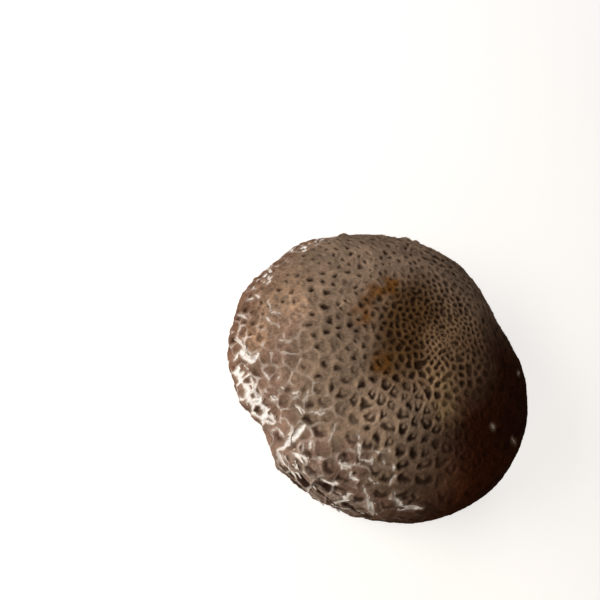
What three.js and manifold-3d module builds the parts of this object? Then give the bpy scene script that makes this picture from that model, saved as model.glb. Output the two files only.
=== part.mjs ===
// Portobello mushroom: a broad brown cap with a pitted, scaly skin, close dark gills under it
// and a short cut stem. Millimetres, +Z up. It stands cap up on the cut face of its stem, and the
// middle of that face is the origin.
import * as THREE from "three";
import { mergeVertices } from "three/addons/utils/BufferGeometryUtils.js";
import Module from "manifold-3d";

const wasm = await Module();
wasm.setup();

// Outline of the cap, seen from above: its radius every 30 degrees, from +X towards +Y.
const RIM_RADII = [59, 63.5, 61, 52, 55.5, 57, 58.5, 60.5, 60, 52, 53, 53.5];

// Cap
const EQUATOR_HEIGHT = 10.5; // level where the cap is widest
const DOME_RISE = 34; // from that level up to the top
const DOME_FULLNESS = 2.25; // 2 is an ellipse, more is squarer in the shoulder
const APEX_SHIFT = new THREE.Vector2(-0.5, 12.5); // the top is off centre, towards +Y
const EDGE_TUCK = 4.5; // how far the margin curls in below the widest level
const EDGE_HEIGHT = 1.4; // mean clearance of the margin over the table
const EDGE_WAVE = 0.8; // three low waves round the margin
const EDGE_RIPPLE = 0.25; // seven small ones on top
const LIP_WIDTH = 5;
const LIP_STEPS = [0.9, 2.1, 3.2, 4.8]; // levels of the lip over the margin's lowest line, going in
const CEILING_HEIGHT = 17; // flat underside of the flesh, where the gills and the stem start
const WALL_INSET = 9.5; // from the outline in to the wall behind the lip
const UNDER_SIDES = 96;

// Pits and scales of the skin
const POINT_SPACING = 2.3; // between neighbouring points of the skin
const JITTER = 0.22; // share of the spacing that a point wanders
const PIT_PITCH_TOP = 3.6;
const PIT_PITCH_EDGE = 6;
const PIT_DEPTH_TOP = 0.7;
const PIT_DEPTH_EDGE = 1.5;
const SCALE_LIFT = 0.6; // share of the pit depth that the tip of a scale stands proud
const RIB_START = 1.25; // where the ribs of the margin begin: 1 is the widest level, 2 the lowest line
const RIB_HEIGHT = 0.5;

// Splits in the skin: direction in degrees, place (0 top, 1 widest level), length, width, turn
const SKIN_SPLITS = [
  [242, 0.93, 16, 4.6, 8],
  [227, 1.05, 11, 3.6, 80],
  [260, 1.12, 13, 4.2, 4],
  [287, 1.15, 12, 4.4, 24],
  [303, 0.98, 12, 3.6, 60],
  [316, 1.15, 14, 4.4, -30],
  [184, 1, 11, 3.2, -12],
  [207, 0.8, 10, 3, 70],
  [142, 1.05, 10, 3, 10],
  [96, 1.1, 10, 3.2, -15],
  [40, 1.1, 11, 3.2, 12],
];
const SPLIT_DEPTH = 2.6;

// Cracks through the lip: direction in degrees, width in mm
const CRACKS = [
  [18, 1.6],
  [71, 1.2],
  [128, 2.6],
  [171, 1.3],
  [214, 1.8],
  [262, 3.4],
  [303, 1.5],
  [338, 2.2],
];
const CRACK_TOP = 9;
const CRACK_LENGTH = 12;

// Rags of the torn veil on the lip: direction and half width in degrees, reach in mm
const VEIL_RAGS = [
  [46, 9, 4.5],
  [64, 5, 3],
  [196, 7, 3.5],
  [285, 8, 5],
];

// Gills
const GAP = 0.3; // between one piece and the next
const PLATE_THICKNESS = 1;
const GILL_THICKNESS = 0.65;
const GILL_SETS = 48; // each set is a full gill, a middle one and two short ones
const GILL_EDGE_HEIGHT = 6.4; // lowest level of the gill edges
const GILL_PROFILE = [
  // share of the gill's length, level over the lowest
  [0.02, 5.2],
  [0.16, 1.4],
  [0.5, 0],
  [0.88, 0.5],
  [1, 2.2],
];
const GILL_CLEARANCE = 0.5; // between the gill disc and the wall
const MIDDLE_START = 0.54; // share of the gill disc's radius where a middle gill begins
const SHORT_START = 0.78;

// Stem
const STEM_RADII = [
  [13.2, 0],
  [13.7, 0.7],
  [13.4, 4],
  [13.7, 8],
  [14.6, 11.5],
  [16.2, 14.5],
  [16.8, CEILING_HEIGHT - GAP],
];
const STEM_OVALITY = 0.035;
const STEM_SIDES = 40;
const STEM_GROOVE = 0.25;
const SLITS = [
  // middle x and y, length, width, direction in degrees
  [4.2, 1.2, 4.6, 1.1, 70],
  [-4.4, -5.2, 5.6, 1, -32],
];
const SLIT_DEPTH = 1.6;

// A seeded source of numbers from 0 to 1.
function seededRandom(seed) {
  let state = seed >>> 0;
  return () => {
    state = (state + 0x6d2b79f5) >>> 0;
    let t = state;
    t = Math.imul(t ^ (t >>> 15), t | 1);
    t ^= t + Math.imul(t ^ (t >>> 7), t | 61);
    return ((t ^ (t >>> 14)) >>> 0) / 4294967296;
  };
}

// Radius of the cap's outline in a direction, on a smooth closed curve through RIM_RADII.
function rimRadius(angle) {
  const count = RIM_RADII.length;
  const place = (((angle / (2 * Math.PI)) * count) % count + count) % count;
  const first = Math.floor(place);
  const t = place - first;
  const [a, b, c, d] = [-1, 0, 1, 2].map((k) => RIM_RADII[(first + k + count) % count]);
  const linear = (c - a) * t;
  const square = (2 * a - 5 * b + 4 * c - d) * t * t;
  const cube = (3 * b - a - 3 * c + d) * t * t * t;
  return 0.5 * (2 * b + linear + square + cube);
}

// How near a direction is to another, from 1 at it to 0 beyond a half width, both in degrees.
function nearness(angle, degrees, halfWidth) {
  const off = ((THREE.MathUtils.radToDeg(angle) - degrees + 540) % 360) - 180;
  return Math.abs(off) < halfWidth ? Math.cos((off / halfWidth) * (Math.PI / 2)) : 0;
}

function edgeHeight(angle) {
  return EDGE_HEIGHT + EDGE_WAVE * Math.sin(3 * angle + 0.6) + EDGE_RIPPLE * Math.sin(7 * angle);
}

// A point of the smooth cap: along is 0 at the top, 1 at the widest level, 2 at the margin's lowest line.
function smoothSkin(angle, along) {
  const radius = rimRadius(angle);
  const up = new THREE.Vector2(Math.cos(angle), Math.sin(angle));
  if (along <= 1) {
    const power = 2 / DOME_FULLNESS;
    const out = Math.sin((along * Math.PI) / 2) ** power;
    const rise = Math.cos((along * Math.PI) / 2) ** power;
    const x = up.x * radius * out + APEX_SHIFT.x * rise;
    const y = up.y * radius * out + APEX_SHIFT.y * rise;
    return new THREE.Vector3(x, y, EQUATOR_HEIGHT + DOME_RISE * rise);
  }
  const turn = ((along - 1) * Math.PI) / 2;
  const reach = radius - EDGE_TUCK * (1 - Math.cos(turn));
  const drop = (EQUATOR_HEIGHT - edgeHeight(angle)) * Math.sin(turn);
  return new THREE.Vector3(up.x * reach, up.y * reach, EQUATOR_HEIGHT - drop);
}

// The skin as rings from the top to the margin: how far along each is, and how many points it has.
function skinRings() {
  const mean = RIM_RADII.reduce((sum, r) => sum + r, 0) / RIM_RADII.length;
  const rings = [{ along: 0, count: 1 }];
  const step = 0.002;
  let travelled = 0;
  for (let along = 0; along < 1.97; along += step) {
    travelled += smoothSkin(0, along).distanceTo(smoothSkin(0, along + step));
    if (travelled < (POINT_SPACING * Math.sqrt(3)) / 2) continue;
    const radius = mean * Math.sin((Math.min(along, 1) * Math.PI) / 2) ** (2 / DOME_FULLNESS);
    const sixths = Math.round((2 * Math.PI * radius) / (6 * POINT_SPACING));
    rings.push({ along, count: 6 * Math.max(1, sixths) });
    travelled = 0;
  }
  return [...rings, { along: 2, count: rings.at(-1).count }];
}

// Moves a point of the skin in or out, towards the heart of the cap.
const HEART = new THREE.Vector3(0, 4, 2);
function pushed(point, distance) {
  return point.clone().add(point.clone().sub(HEART).normalize().multiplyScalar(distance));
}

// Points of the smooth skin, ring by ring, each with its direction and how far along it is.
function skinPoints() {
  const random = seededRandom(7);
  const wander = () => JITTER * (2 * random() - 1);
  const rings = skinRings();
  return rings.map(({ along, count }, ring) => {
    const free = ring > 0 && along < RIB_START ? 1 : 0;
    const step = free * (along - rings[Math.max(ring - 1, 0)].along);
    return Array.from({ length: count }, (_, i) => {
      const angle = ((i + (ring % 2) / 2 + free * wander()) / count) * 2 * Math.PI;
      const place = along + step * wander();
      return { angle, along: place, base: smoothSkin(angle, place) };
    });
  });
}

// Picks pits in a scattered order, none nearer to another than the pitch of that place.
function pickPits(points) {
  const random = seededRandom(23);
  const order = points.map((point) => ({ point, rank: random() })).sort((a, b) => a.rank - b.rank);
  const pits = [];
  for (const { point } of order) {
    const pitch = THREE.MathUtils.lerp(PIT_PITCH_TOP, PIT_PITCH_EDGE, Math.min(point.along, 1) ** 2);
    if (pits.every((pit) => pit.base.distanceTo(point.base) > pitch)) pits.push(point);
  }
  return pits;
}

// The skin with its pits. On the side of a pit towards the top, the tip of a scale stands over it.
function skinRows() {
  const random = seededRandom(11);
  const rows = skinPoints();
  const pits = pickPits(rows.flat().filter((point) => point.along < RIB_START));
  const inPits = new Set(pits);
  return rows.map((row) =>
    row.map((point, i) => {
      const depth = THREE.MathUtils.lerp(PIT_DEPTH_TOP, PIT_DEPTH_EDGE, Math.min(point.along, 1) ** 1.5);
      if (point.along >= RIB_START) {
        return pushed(point.base, (i % 2 ? 1 : -1) * RIB_HEIGHT * (0.6 + 0.8 * random()));
      }
      if (inPits.has(point)) return pushed(point.base, -depth * (0.75 + 0.5 * random()));
      const from = (pit) => pit.base.distanceTo(point.base);
      const nearest = pits.reduce((best, pit) => (from(pit) < from(best) ? pit : best));
      const tip = nearest.along > point.along ? 1 : 0.3;
      return pushed(point.base, depth * SCALE_LIFT * tip * (0.7 + 0.6 * random()));
    }),
  );
}

// The underside of the cap as rows of points, from the margin in: the lip and its rags, the wall, the ceiling.
function undersideRows() {
  const random = seededRandom(19);
  const angles = Array.from({ length: UNDER_SIDES }, (_, i) => ((i + 0.5) / UNDER_SIDES) * 2 * Math.PI);
  const ragReach = (a) => VEIL_RAGS.reduce((sum, [at, half, reach]) => sum + reach * nearness(a, at, half), 0);
  const rags = angles.map((a) => ragReach(a) * (0.6 + 0.7 * random()));
  const row = (inset, height) =>
    angles.map((a, i) => {
      const reach = rimRadius(a) - inset(i);
      return new THREE.Vector3(Math.cos(a) * reach, Math.sin(a) * reach, height(a));
    });
  const lipEnd = EDGE_TUCK + LIP_WIDTH;
  return [
    row(() => EDGE_TUCK + LIP_WIDTH / 2, (a) => edgeHeight(a) + LIP_STEPS[0]),
    row((i) => lipEnd + rags[i], (a) => edgeHeight(a) + LIP_STEPS[1]),
    row((i) => lipEnd + 0.9 * rags[i], (a) => edgeHeight(a) + LIP_STEPS[2]),
    row(() => WALL_INSET, (a) => edgeHeight(a) + LIP_STEPS[3]),
    row(() => WALL_INSET, () => CEILING_HEIGHT),
    [new THREE.Vector3(0, 0, CEILING_HEIGHT)],
  ];
}

// Triangles between two closed rows of points that run the same way round, always by the shorter diagonal.
function stitch(first, second, firstStart, secondStart) {
  const triangles = [];
  const firstSteps = first.length === 1 ? 0 : first.length;
  const secondSteps = second.length === 1 ? 0 : second.length;
  let i = 0;
  let j = 0;
  while (i < firstSteps || j < secondSteps) {
    const nextFirst = (i + 1) % first.length;
    const nextSecond = (j + 1) % second.length;
    const acrossFirst = first[nextFirst].distanceTo(second[j % second.length]);
    const acrossSecond = second[nextSecond].distanceTo(first[i % first.length]);
    const corner = [firstStart + (i % first.length), secondStart + (j % second.length)];
    if (j >= secondSteps || (i < firstSteps && acrossFirst <= acrossSecond)) {
      triangles.push([...corner, firstStart + nextFirst]);
      i++;
    } else {
      triangles.push([...corner, secondStart + nextSecond]);
      j++;
    }
  }
  return triangles;
}

// A closed mesh from rows of points that start and end in a single point.
function lofted(rows) {
  const positions = rows.flat().flatMap((p) => [p.x, p.y, p.z]);
  const index = [];
  let start = 0;
  for (let r = 0; r + 1 < rows.length; r++) {
    const next = start + rows[r].length;
    for (const triangle of stitch(rows[r], rows[r + 1], start, next)) index.push(...triangle);
    start = next;
  }
  const geometry = new THREE.BufferGeometry();
  geometry.setAttribute("position", new THREE.Float32BufferAttribute(positions, 3));
  geometry.setIndex(index);
  return geometry;
}

function solidFrom(geometry) {
  const bare = geometry.clone();
  bare.deleteAttribute("normal");
  bare.deleteAttribute("uv");
  const merged = mergeVertices(bare, 1e-4);
  return new wasm.Manifold(
    new wasm.Mesh({
      numProp: 3,
      vertProperties: new Float32Array(merged.attributes.position.array),
      triVerts: new Uint32Array(merged.index.array),
    }),
  );
}

function geometryFrom(solid) {
  const mesh = solid.getMesh();
  const geometry = new THREE.BufferGeometry();
  geometry.setAttribute("position", new THREE.Float32BufferAttribute(mesh.vertProperties, 3));
  geometry.setIndex(new THREE.BufferAttribute(mesh.triVerts, 1));
  geometry.computeVertexNormals();
  return geometry;
}

// A wedge that cuts one crack up through the lip, in the plane of its direction.
function crackCutter(degrees, width) {
  const angle = THREE.MathUtils.degToRad(degrees);
  const section = new THREE.Shape([
    new THREE.Vector2(-width / 2, -1),
    new THREE.Vector2(width / 2, -1),
    new THREE.Vector2(width / 8, CRACK_TOP),
    new THREE.Vector2(-width / 8, CRACK_TOP),
  ]);
  const wedge = new THREE.ExtrudeGeometry(section, { depth: CRACK_LENGTH, bevelEnabled: false });
  wedge.rotateX(Math.PI / 2);
  wedge.translate(0, rimRadius(angle) - 1.5, 0);
  wedge.rotateZ(angle - Math.PI / 2);
  return wedge;
}

// A long pointed wedge that opens a split in the skin, turned from the line that runs down the cap.
function splitCutter([degrees, along, length, width, turn]) {
  const angle = THREE.MathUtils.degToRad(degrees);
  const point = smoothSkin(angle, along);
  const down = smoothSkin(angle, along + 0.01).sub(smoothSkin(angle, along - 0.01)).normalize();
  const outward = point.clone().sub(HEART).normalize();
  const across = new THREE.Vector3().crossVectors(outward, down).normalize();
  outward.crossVectors(down, across);
  const wedge = new THREE.OctahedronGeometry(1);
  wedge.scale(length / 2, width / 2, SPLIT_DEPTH);
  wedge.rotateZ(THREE.MathUtils.degToRad(turn));
  wedge.applyMatrix4(new THREE.Matrix4().makeBasis(down, across, outward));
  return wedge.translate(point.x, point.y, point.z);
}

function capGeometry() {
  let cap = solidFrom(lofted([...skinRows(), ...undersideRows()]));
  for (const [degrees, width] of CRACKS) cap = cap.subtract(solidFrom(crackCutter(degrees, width)));
  for (const split of SKIN_SPLITS) cap = cap.subtract(solidFrom(splitCutter(split)));
  return geometryFrom(cap);
}

function gillDiscRadius(angle) {
  return rimRadius(angle) - WALL_INSET - GILL_CLEARANCE;
}

// The thin sheet at the roots of the gills, with a hole for the stem.
function gillPlate(holeRadius) {
  const sides = 96;
  const angles = Array.from({ length: sides }, (_, i) => (i / sides) * 2 * Math.PI);
  const direction = (a) => new THREE.Vector2(Math.cos(a), Math.sin(a));
  const sheet = new THREE.Shape(angles.map((a) => direction(a).multiplyScalar(gillDiscRadius(a))));
  const hole = new THREE.Path();
  hole.absarc(0, 0, holeRadius, 0, 2 * Math.PI, true);
  sheet.holes.push(hole);
  const settings = { depth: PLATE_THICKNESS, bevelEnabled: false, curveSegments: 24 };
  const plate = new THREE.ExtrudeGeometry(sheet, settings);
  return plate.translate(0, 0, CEILING_HEIGHT - GAP - PLATE_THICKNESS);
}

// One gill: a thin blade that stands on its edge along a direction, from one radius out to another.
function gillBlade(angle, inner, outer) {
  const root = CEILING_HEIGHT - GAP - PLATE_THICKNESS / 2;
  const span = outer - inner;
  const edge = GILL_PROFILE.map(([share, level]) => [inner + share * span, GILL_EDGE_HEIGHT + level]);
  const corners = [[inner, root], ...edge, [outer, root]];
  const profile = new THREE.Shape(corners.map(([x, y]) => new THREE.Vector2(x, y)));
  const blade = new THREE.ExtrudeGeometry(profile, { depth: GILL_THICKNESS, bevelEnabled: false });
  blade.translate(0, 0, -GILL_THICKNESS / 2);
  blade.rotateX(Math.PI / 2);
  return blade.rotateZ(angle);
}

function gillsGeometry() {
  const random = seededRandom(41);
  const holeRadius = STEM_RADII.at(-1)[0] * (1 + STEM_OVALITY) + STEM_GROOVE + GAP;
  const pitch = (2 * Math.PI) / GILL_SETS;
  const solids = [solidFrom(gillPlate(holeRadius))];
  for (let set = 0; set < GILL_SETS; set++) {
    const starts = [0, SHORT_START, MIDDLE_START, SHORT_START];
    starts.forEach((start, place) => {
      const wander = start ? 0.05 * (random() - 0.5) : 0;
      const angle = (set + place / starts.length + wander) * pitch;
      const outer = gillDiscRadius(angle) - 0.4 - 0.6 * random();
      const inner = start ? outer * (start + 0.05 * random()) : holeRadius + 0.2;
      solids.push(solidFrom(gillBlade(angle, inner, outer)));
    });
  }
  return geometryFrom(wasm.Manifold.union(solids));
}

// The stem: a turned shape made slightly oval and grooved along its length, with two slits in the cut face.
function stemGeometry() {
  const profile = [[0, 0], ...STEM_RADII, [0, CEILING_HEIGHT - GAP]];
  const turned = new THREE.LatheGeometry(profile.map(([r, z]) => new THREE.Vector2(r, z)), STEM_SIDES);
  turned.rotateX(Math.PI / 2);
  const place = turned.attributes.position;
  for (let i = 0; i < place.count; i++) {
    const [x, y] = [place.getX(i), place.getY(i)];
    const angle = Math.atan2(y, x);
    const groove = (STEM_GROOVE / 14) * Math.sin(20 * angle);
    const stretch = 1 + STEM_OVALITY * Math.cos(2 * angle) + groove;
    place.setXY(i, x * stretch, y * stretch);
  }
  let stem = solidFrom(turned);
  for (const [x, y, length, width, degrees] of SLITS) {
    const slit = new THREE.CylinderGeometry(length / 2, length / 5, 2 * SLIT_DEPTH, 8);
    slit.rotateX(-Math.PI / 2);
    slit.scale(1, width / length, 1);
    slit.rotateZ(THREE.MathUtils.degToRad(degrees));
    stem = stem.subtract(solidFrom(slit.translate(x, y, 0)));
  }
  return geometryFrom(stem);
}

function piece(name, geometry, colour, roughness) {
  const material = new THREE.MeshStandardMaterial({ color: colour, roughness, metalness: 0 });
  const mesh = new THREE.Mesh(geometry, material);
  mesh.name = name;
  return mesh;
}

const mushroom = new THREE.Group();
mushroom.add(piece("cap", capGeometry(), "#7d6656", 0.75));
mushroom.add(piece("gills", gillsGeometry(), "#2b1c19", 0.9));
mushroom.add(piece("stem", stemGeometry(), "#b5a88b", 0.8));

export default mushroom;
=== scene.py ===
# %% [markdown]
# A portobello mushroom, cap up on a pale table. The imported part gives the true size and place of
# the cap, the gills and the stem. This script dresses each of them: a cap skin with its net of pits
# and its torn scales, thin gills under it and a cut stem.

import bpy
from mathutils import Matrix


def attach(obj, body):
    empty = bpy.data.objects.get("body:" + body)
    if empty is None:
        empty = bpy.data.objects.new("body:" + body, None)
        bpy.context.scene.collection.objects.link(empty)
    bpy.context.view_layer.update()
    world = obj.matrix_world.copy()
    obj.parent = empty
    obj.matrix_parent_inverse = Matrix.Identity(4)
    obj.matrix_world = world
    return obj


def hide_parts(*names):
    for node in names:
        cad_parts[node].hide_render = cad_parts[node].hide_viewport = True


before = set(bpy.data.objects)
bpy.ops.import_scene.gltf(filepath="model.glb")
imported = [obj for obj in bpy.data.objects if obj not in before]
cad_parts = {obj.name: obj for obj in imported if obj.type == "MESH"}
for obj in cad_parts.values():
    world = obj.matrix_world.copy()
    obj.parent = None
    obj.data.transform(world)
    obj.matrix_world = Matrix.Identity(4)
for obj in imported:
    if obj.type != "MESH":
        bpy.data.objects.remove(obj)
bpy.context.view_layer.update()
print("packed nodes:", sorted(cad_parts))

# %% [markdown]
# The libraries, and the small helpers that every later cell uses. All shapes are worked out in
# millimetres, because that is how one thinks of a mushroom, and turned to metres as a mesh is made.
# Noise gives the uneven look of something that grew. Blender's vector noise starts from the clock
# unless it is given a seed, so it gets one before its first use, and every run makes the same cap.

# %% Libraries and helpers
import math

import bpy
import numpy as np
from mathutils import Matrix, Vector, noise
from mathutils.kdtree import KDTree

MM = 0.001
NOISE_SEED = 9
NOISE_SHIFT = (17.3, 5.1, 11.7)

noise.seed_set(NOISE_SEED)


def smoothstep(low, high, x):
    """0 below low, 1 above high and a soft rise between them."""
    t = np.clip((x - low) / (high - low), 0, 1)
    return t * t * (3 - 2 * t)


def blend(first, second, share):
    return first + (second - first) * share


def turned(angle, degrees):
    """Degrees from a direction to an angle in radians, from -180 to 180."""
    return (np.degrees(angle) - degrees + 180) % 360 - 180


def bell(angle, degrees, half_width):
    """1 in a direction, falling softly to 0 on both sides of it."""
    return np.exp(-((turned(angle, degrees) / half_width) ** 2))


def noise_at(points, size, seed=0, kind=noise.noise):
    """Smooth noise from -1 to 1 at points in mm, with features about as large as size."""
    shift = Vector([seed * along for along in NOISE_SHIFT])
    return np.array([kind(Vector(p) / size + shift) for p in points])


def noise_vectors(points, size, seed=0):
    """The same with three numbers for each point, to shake it with."""
    return noise_at(points, size, seed, noise.noise_vector)


def polar(radius, angle, z):
    """Points from a radius, an angle and a height, where a single number stands for all of them."""
    return np.stack(np.broadcast_arrays(radius * np.cos(angle), radius * np.sin(angle), z), axis=-1)


print("noise of one point:", round(noise.noise(Vector(NOISE_SHIFT)), 3))

# %% [markdown]
# The cap is a low dome whose top is off centre and whose outline wanders. Its outline is a smooth
# closed curve through a radius every 30 degrees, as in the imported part. A point of the skin is
# found from two numbers: its direction, and how far along it lies from the top (0) over the widest
# level (1) to the lowest line of the margin (2). A profile spun round an axis would be quicker, but it
# would look turned on a lathe.

# %% The cap's smooth shape
RIM_RADII = np.array([59, 63.5, 61, 52, 55.5, 57, 58.5, 60.5, 60, 52, 53, 53.5])
EQUATOR_HEIGHT = 10.5
DOME_RISE = 34
DOME_FULLNESS = 2.25
APEX_SHIFT = (-0.5, 12.5)
EDGE_TUCK = 4.5
EDGE_HEIGHT = 1.4
EDGE_WAVE = 0.8
EDGE_RIPPLE = 0.25
CEILING_HEIGHT = 16.8
BULGES_FROM = 0.7
BULGES = [
    # direction, half width in degrees, mm out or in
    (257, 4.5, 1.2), (271, 5.0, -0.9), (287, 6.5, 1.7), (186, 8.0, 2.2), (214, 9.0, 1.9),
]


def rim_radius(angle):
    count = len(RIM_RADII)
    place = (angle / (2 * np.pi) * count) % count
    first = np.floor(place).astype(int)
    t = place - first
    a, b, c, d = (RIM_RADII[(first + k) % count] for k in (-1, 0, 1, 2))
    linear, square = (c - a) * t, (2 * a - 5 * b + 4 * c - d) * t**2
    cube = (3 * b - a - 3 * c + d) * t**3
    return 0.5 * (2 * b + linear + square + cube)


def rim_bulge(angle):
    return sum(rise * bell(angle, degrees, half_width) for degrees, half_width, rise in BULGES)


def edge_height(angle):
    return EDGE_HEIGHT + EDGE_WAVE * np.sin(3 * angle + 0.6) + EDGE_RIPPLE * np.sin(7 * angle)


def smooth_skin(angle, along):
    """Points of the smooth cap in mm."""
    radius = rim_radius(angle) + rim_bulge(angle) * smoothstep(BULGES_FROM, 1, along)
    power = 2 / DOME_FULLNESS
    quarter = np.minimum(along, 1) * np.pi / 2
    out, rise = np.sin(quarter) ** power, np.abs(np.cos(quarter)) ** power
    turn = np.maximum(along - 1, 0) * np.pi / 2
    reach = radius * out - EDGE_TUCK * (1 - np.cos(turn))
    drop = (EQUATOR_HEIGHT - edge_height(angle)) * np.sin(turn)
    rise = np.where(along < 1, rise, 0)
    x = reach * np.cos(angle) + APEX_SHIFT[0] * rise
    y = reach * np.sin(angle) + APEX_SHIFT[1] * rise
    return np.stack([x, y, EQUATOR_HEIGHT + DOME_RISE * rise - drop], axis=-1)


def skin_normals(angle, along):
    step = 1e-4
    near = np.clip(along, 2 * step, 2 - 2 * step)
    down = smooth_skin(angle, near + step) - smooth_skin(angle, near - step)
    round_ = smooth_skin(angle + step, near) - smooth_skin(angle - step, near)
    normal = np.cross(down, round_)
    return normal / np.linalg.norm(normal, axis=-1, keepdims=True)


def spot(degrees, place):
    """The point of the smooth cap in a direction, and at a place from top (0) to margin (2)."""
    return smooth_skin(np.radians([degrees]), np.array([place]))[0]


print("height of the smooth cap, mm:", EQUATOR_HEIGHT + DOME_RISE)

# %% [markdown]
# The skin's mesh has to be fine and even: its pits are about a millimetre wide. A disc whose ring n
# has 6n points gives near-equal triangles everywhere, with no pinched pole, so the rings are laid
# at equal steps down the cap, and at longer steps under the margin, where the skin is plain. Round
# the cap the points crowd a little towards the torn side.

# %% An even disc of triangles
SKIN_RINGS = 163
TORN_SIDE, CROWDING = 270, 0.3
PLAIN_FROM, PLAIN_SHARE = 1.15, 0.5


def disc_points(rings):
    """Ring number and direction of every point of a disc whose ring n has 6n points."""
    ring = np.concatenate([[0]] + [np.full(6 * n, n) for n in range(1, rings + 1)])
    turn = np.concatenate([[0]] + [np.arange(6 * n) / (6 * n) for n in range(1, rings + 1)])
    return ring, turn * 2 * np.pi


def disc_faces(rings):
    faces = []
    for n in range(rings):
        inner = 1 + 3 * n * (n - 1) if n else 0
        outer = 1 + 3 * n * (n + 1)
        for side in range(6):
            i = np.arange(n + 1)
            a = inner + (side * n + i) % max(6 * n, 1)
            b = outer + side * (n + 1) + i
            c = outer + (side * (n + 1) + i + 1) % (6 * (n + 1))
            faces.append(np.stack([a, b, c], axis=1))
            i = np.arange(n)
            a = inner + side * n + i
            b = outer + side * (n + 1) + i + 1
            c = inner + (side * n + i + 1) % max(6 * n, 1)
            faces.append(np.stack([a, b, c], axis=1))
    return np.concatenate(faces)


def even_places(rings):
    """Places along the cap that cut its mean run from top to margin into even steps."""
    fine = np.linspace(0, 2, 2001)
    directions = np.linspace(0, 2 * np.pi, 12, endpoint=False)
    runs = [smooth_skin(np.full_like(fine, a), fine) for a in directions]
    steps = np.mean([np.linalg.norm(np.diff(run, axis=0), axis=1) for run in runs], axis=0)
    print("run from top to margin, mm:", round(steps.sum(), 1))
    steps *= np.where(fine[1:] > PLAIN_FROM, PLAIN_SHARE, 1)
    travelled = np.concatenate([[0], np.cumsum(steps)])
    return np.interp(np.linspace(0, travelled[-1], rings + 1), travelled, fine)


ring, skin_angle = disc_points(SKIN_RINGS)
skin_angle = skin_angle - CROWDING * np.sin(skin_angle - np.radians(TORN_SIDE))
skin_along = even_places(SKIN_RINGS)[ring]
skin_base = smooth_skin(skin_angle, skin_along)
skin_up = skin_normals(skin_angle, skin_along)
print("points of the skin:", len(ring), "triangles:", 6 * SKIN_RINGS**2)

# %% [markdown]
# The skin of a grown portobello cracks into cells as the cap spreads. At the top they are tiny
# round pits in a fine net. Down the sides they widen into scales, each with a dark hollow at its
# outer tip. The cells are a Voronoi pattern: seeds are dropped in a random order, none nearer to
# another than the pitch there, and every point of the skin belongs to its nearest seed. A Voronoi
# texture would only draw such cells, while measures on the points can also push the surface.

# %% Seeds of the cells
TOP = spot(0.0, 0.0)
PITCH_AT_TOP = 2.0
PITCH_GROWTH = 0.088
LARGEST_PITCH = 6.4
FINER_SIDE, FINER_SHARE = 160, 0.66
SEED_SPACING = 0.8
SEEDS_SEED = 5

rng = np.random.default_rng(SEEDS_SEED)
direction = np.degrees(skin_angle) % 360
reach = np.linalg.norm(skin_base - TOP, axis=1)


def facing_side(degrees, low=-0.2, high=0.9):
    """1 on the side of the cap that a direction points to, 0 on the other side."""
    return smoothstep(low, high, np.cos(np.radians(direction - degrees)))


pitch = np.minimum(PITCH_AT_TOP + PITCH_GROWTH * reach, LARGEST_PITCH)
pitch *= blend(1, FINER_SHARE, facing_side(FINER_SIDE, -1, 1))


def drop_seeds(points, spacing):
    """Numbers of the points picked in a random order, none within the spacing of another."""
    picked = []
    places = np.empty((0, 3))
    for i in rng.permutation(len(points)):
        if len(places) == 0 or np.min(np.sum((places - points[i]) ** 2, axis=1)) > spacing[i] ** 2:
            picked.append(i)
            places = points[picked]
    return np.array(picked)


seeds = drop_seeds(skin_base, SEED_SPACING * pitch)
print("cells:", len(seeds))

# %% [markdown]
# For each point of the skin the nearest seeds give all that the relief needs: how far the edge of its
# cell is, and where the point lies in its cell, outward (u) and across (v). The points are first
# shaken by noise, so that no edge between two cells is straight, and the distances to the three
# nearest edges are melted into one, which rounds the corners.

# %% Cell measures
WARP_FINE, FINE_SIZE, WARP_BROAD, BROAD_SIZE = 0.5, 1.7, 1.1, 5.5
MELT = 0.09
PAIR_KINDS = 997

shaken = skin_base + WARP_FINE * noise_vectors(skin_base, FINE_SIZE, 1)
shaken += WARP_BROAD * smoothstep(12, 32, reach)[:, None] * noise_vectors(skin_base, BROAD_SIZE, 2)
seed_finder = KDTree(len(seeds))
for number, seed in enumerate(seeds):
    seed_finder.insert(skin_base[seed], number)
seed_finder.balance()
nearest = np.array([[found[1] for found in seed_finder.find_n(p, 4)] for p in shaken])
own, other = nearest[:, 0], nearest[:, 1]
own_seed = skin_base[seeds[own]]
own_pitch = pitch[seeds[own]]


def edge_to(neighbour):
    """Distance in mm from each point to the edge between its own cell and a neighbour's."""
    seed = skin_base[seeds[neighbour]]
    apart = np.linalg.norm(seed - own_seed, axis=1)
    return (np.sum((shaken - seed) ** 2, axis=1) - np.sum((shaken - own_seed) ** 2, axis=1)) / (2 * apart)


melt = MELT * own_pitch
edge = -melt * np.log(sum(np.exp(-edge_to(nearest[:, k]) / melt) for k in (1, 2, 3)))
outward = skin_base - TOP
outward -= np.sum(outward * skin_up, axis=1, keepdims=True) * skin_up
outward /= np.linalg.norm(outward, axis=1, keepdims=True) + 1e-9
across = np.cross(skin_up, outward)
u = np.sum((shaken - own_seed) * outward, axis=1) / own_pitch
v = np.sum((shaken - own_seed) * across, axis=1) / own_pitch
apart = skin_base[seeds[other]] - own_seed
tipward = np.sum(apart * outward, axis=1) / np.linalg.norm(apart, axis=1)
cell_random, cell_random_2, cell_random_3 = (rng.random(len(seeds))[own] for _ in range(3))
pair_random = rng.random(PAIR_KINDS)[(own + other) % PAIR_KINDS]
print("mean cell width, mm:", round(float(own_pitch.mean()), 2))
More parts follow.
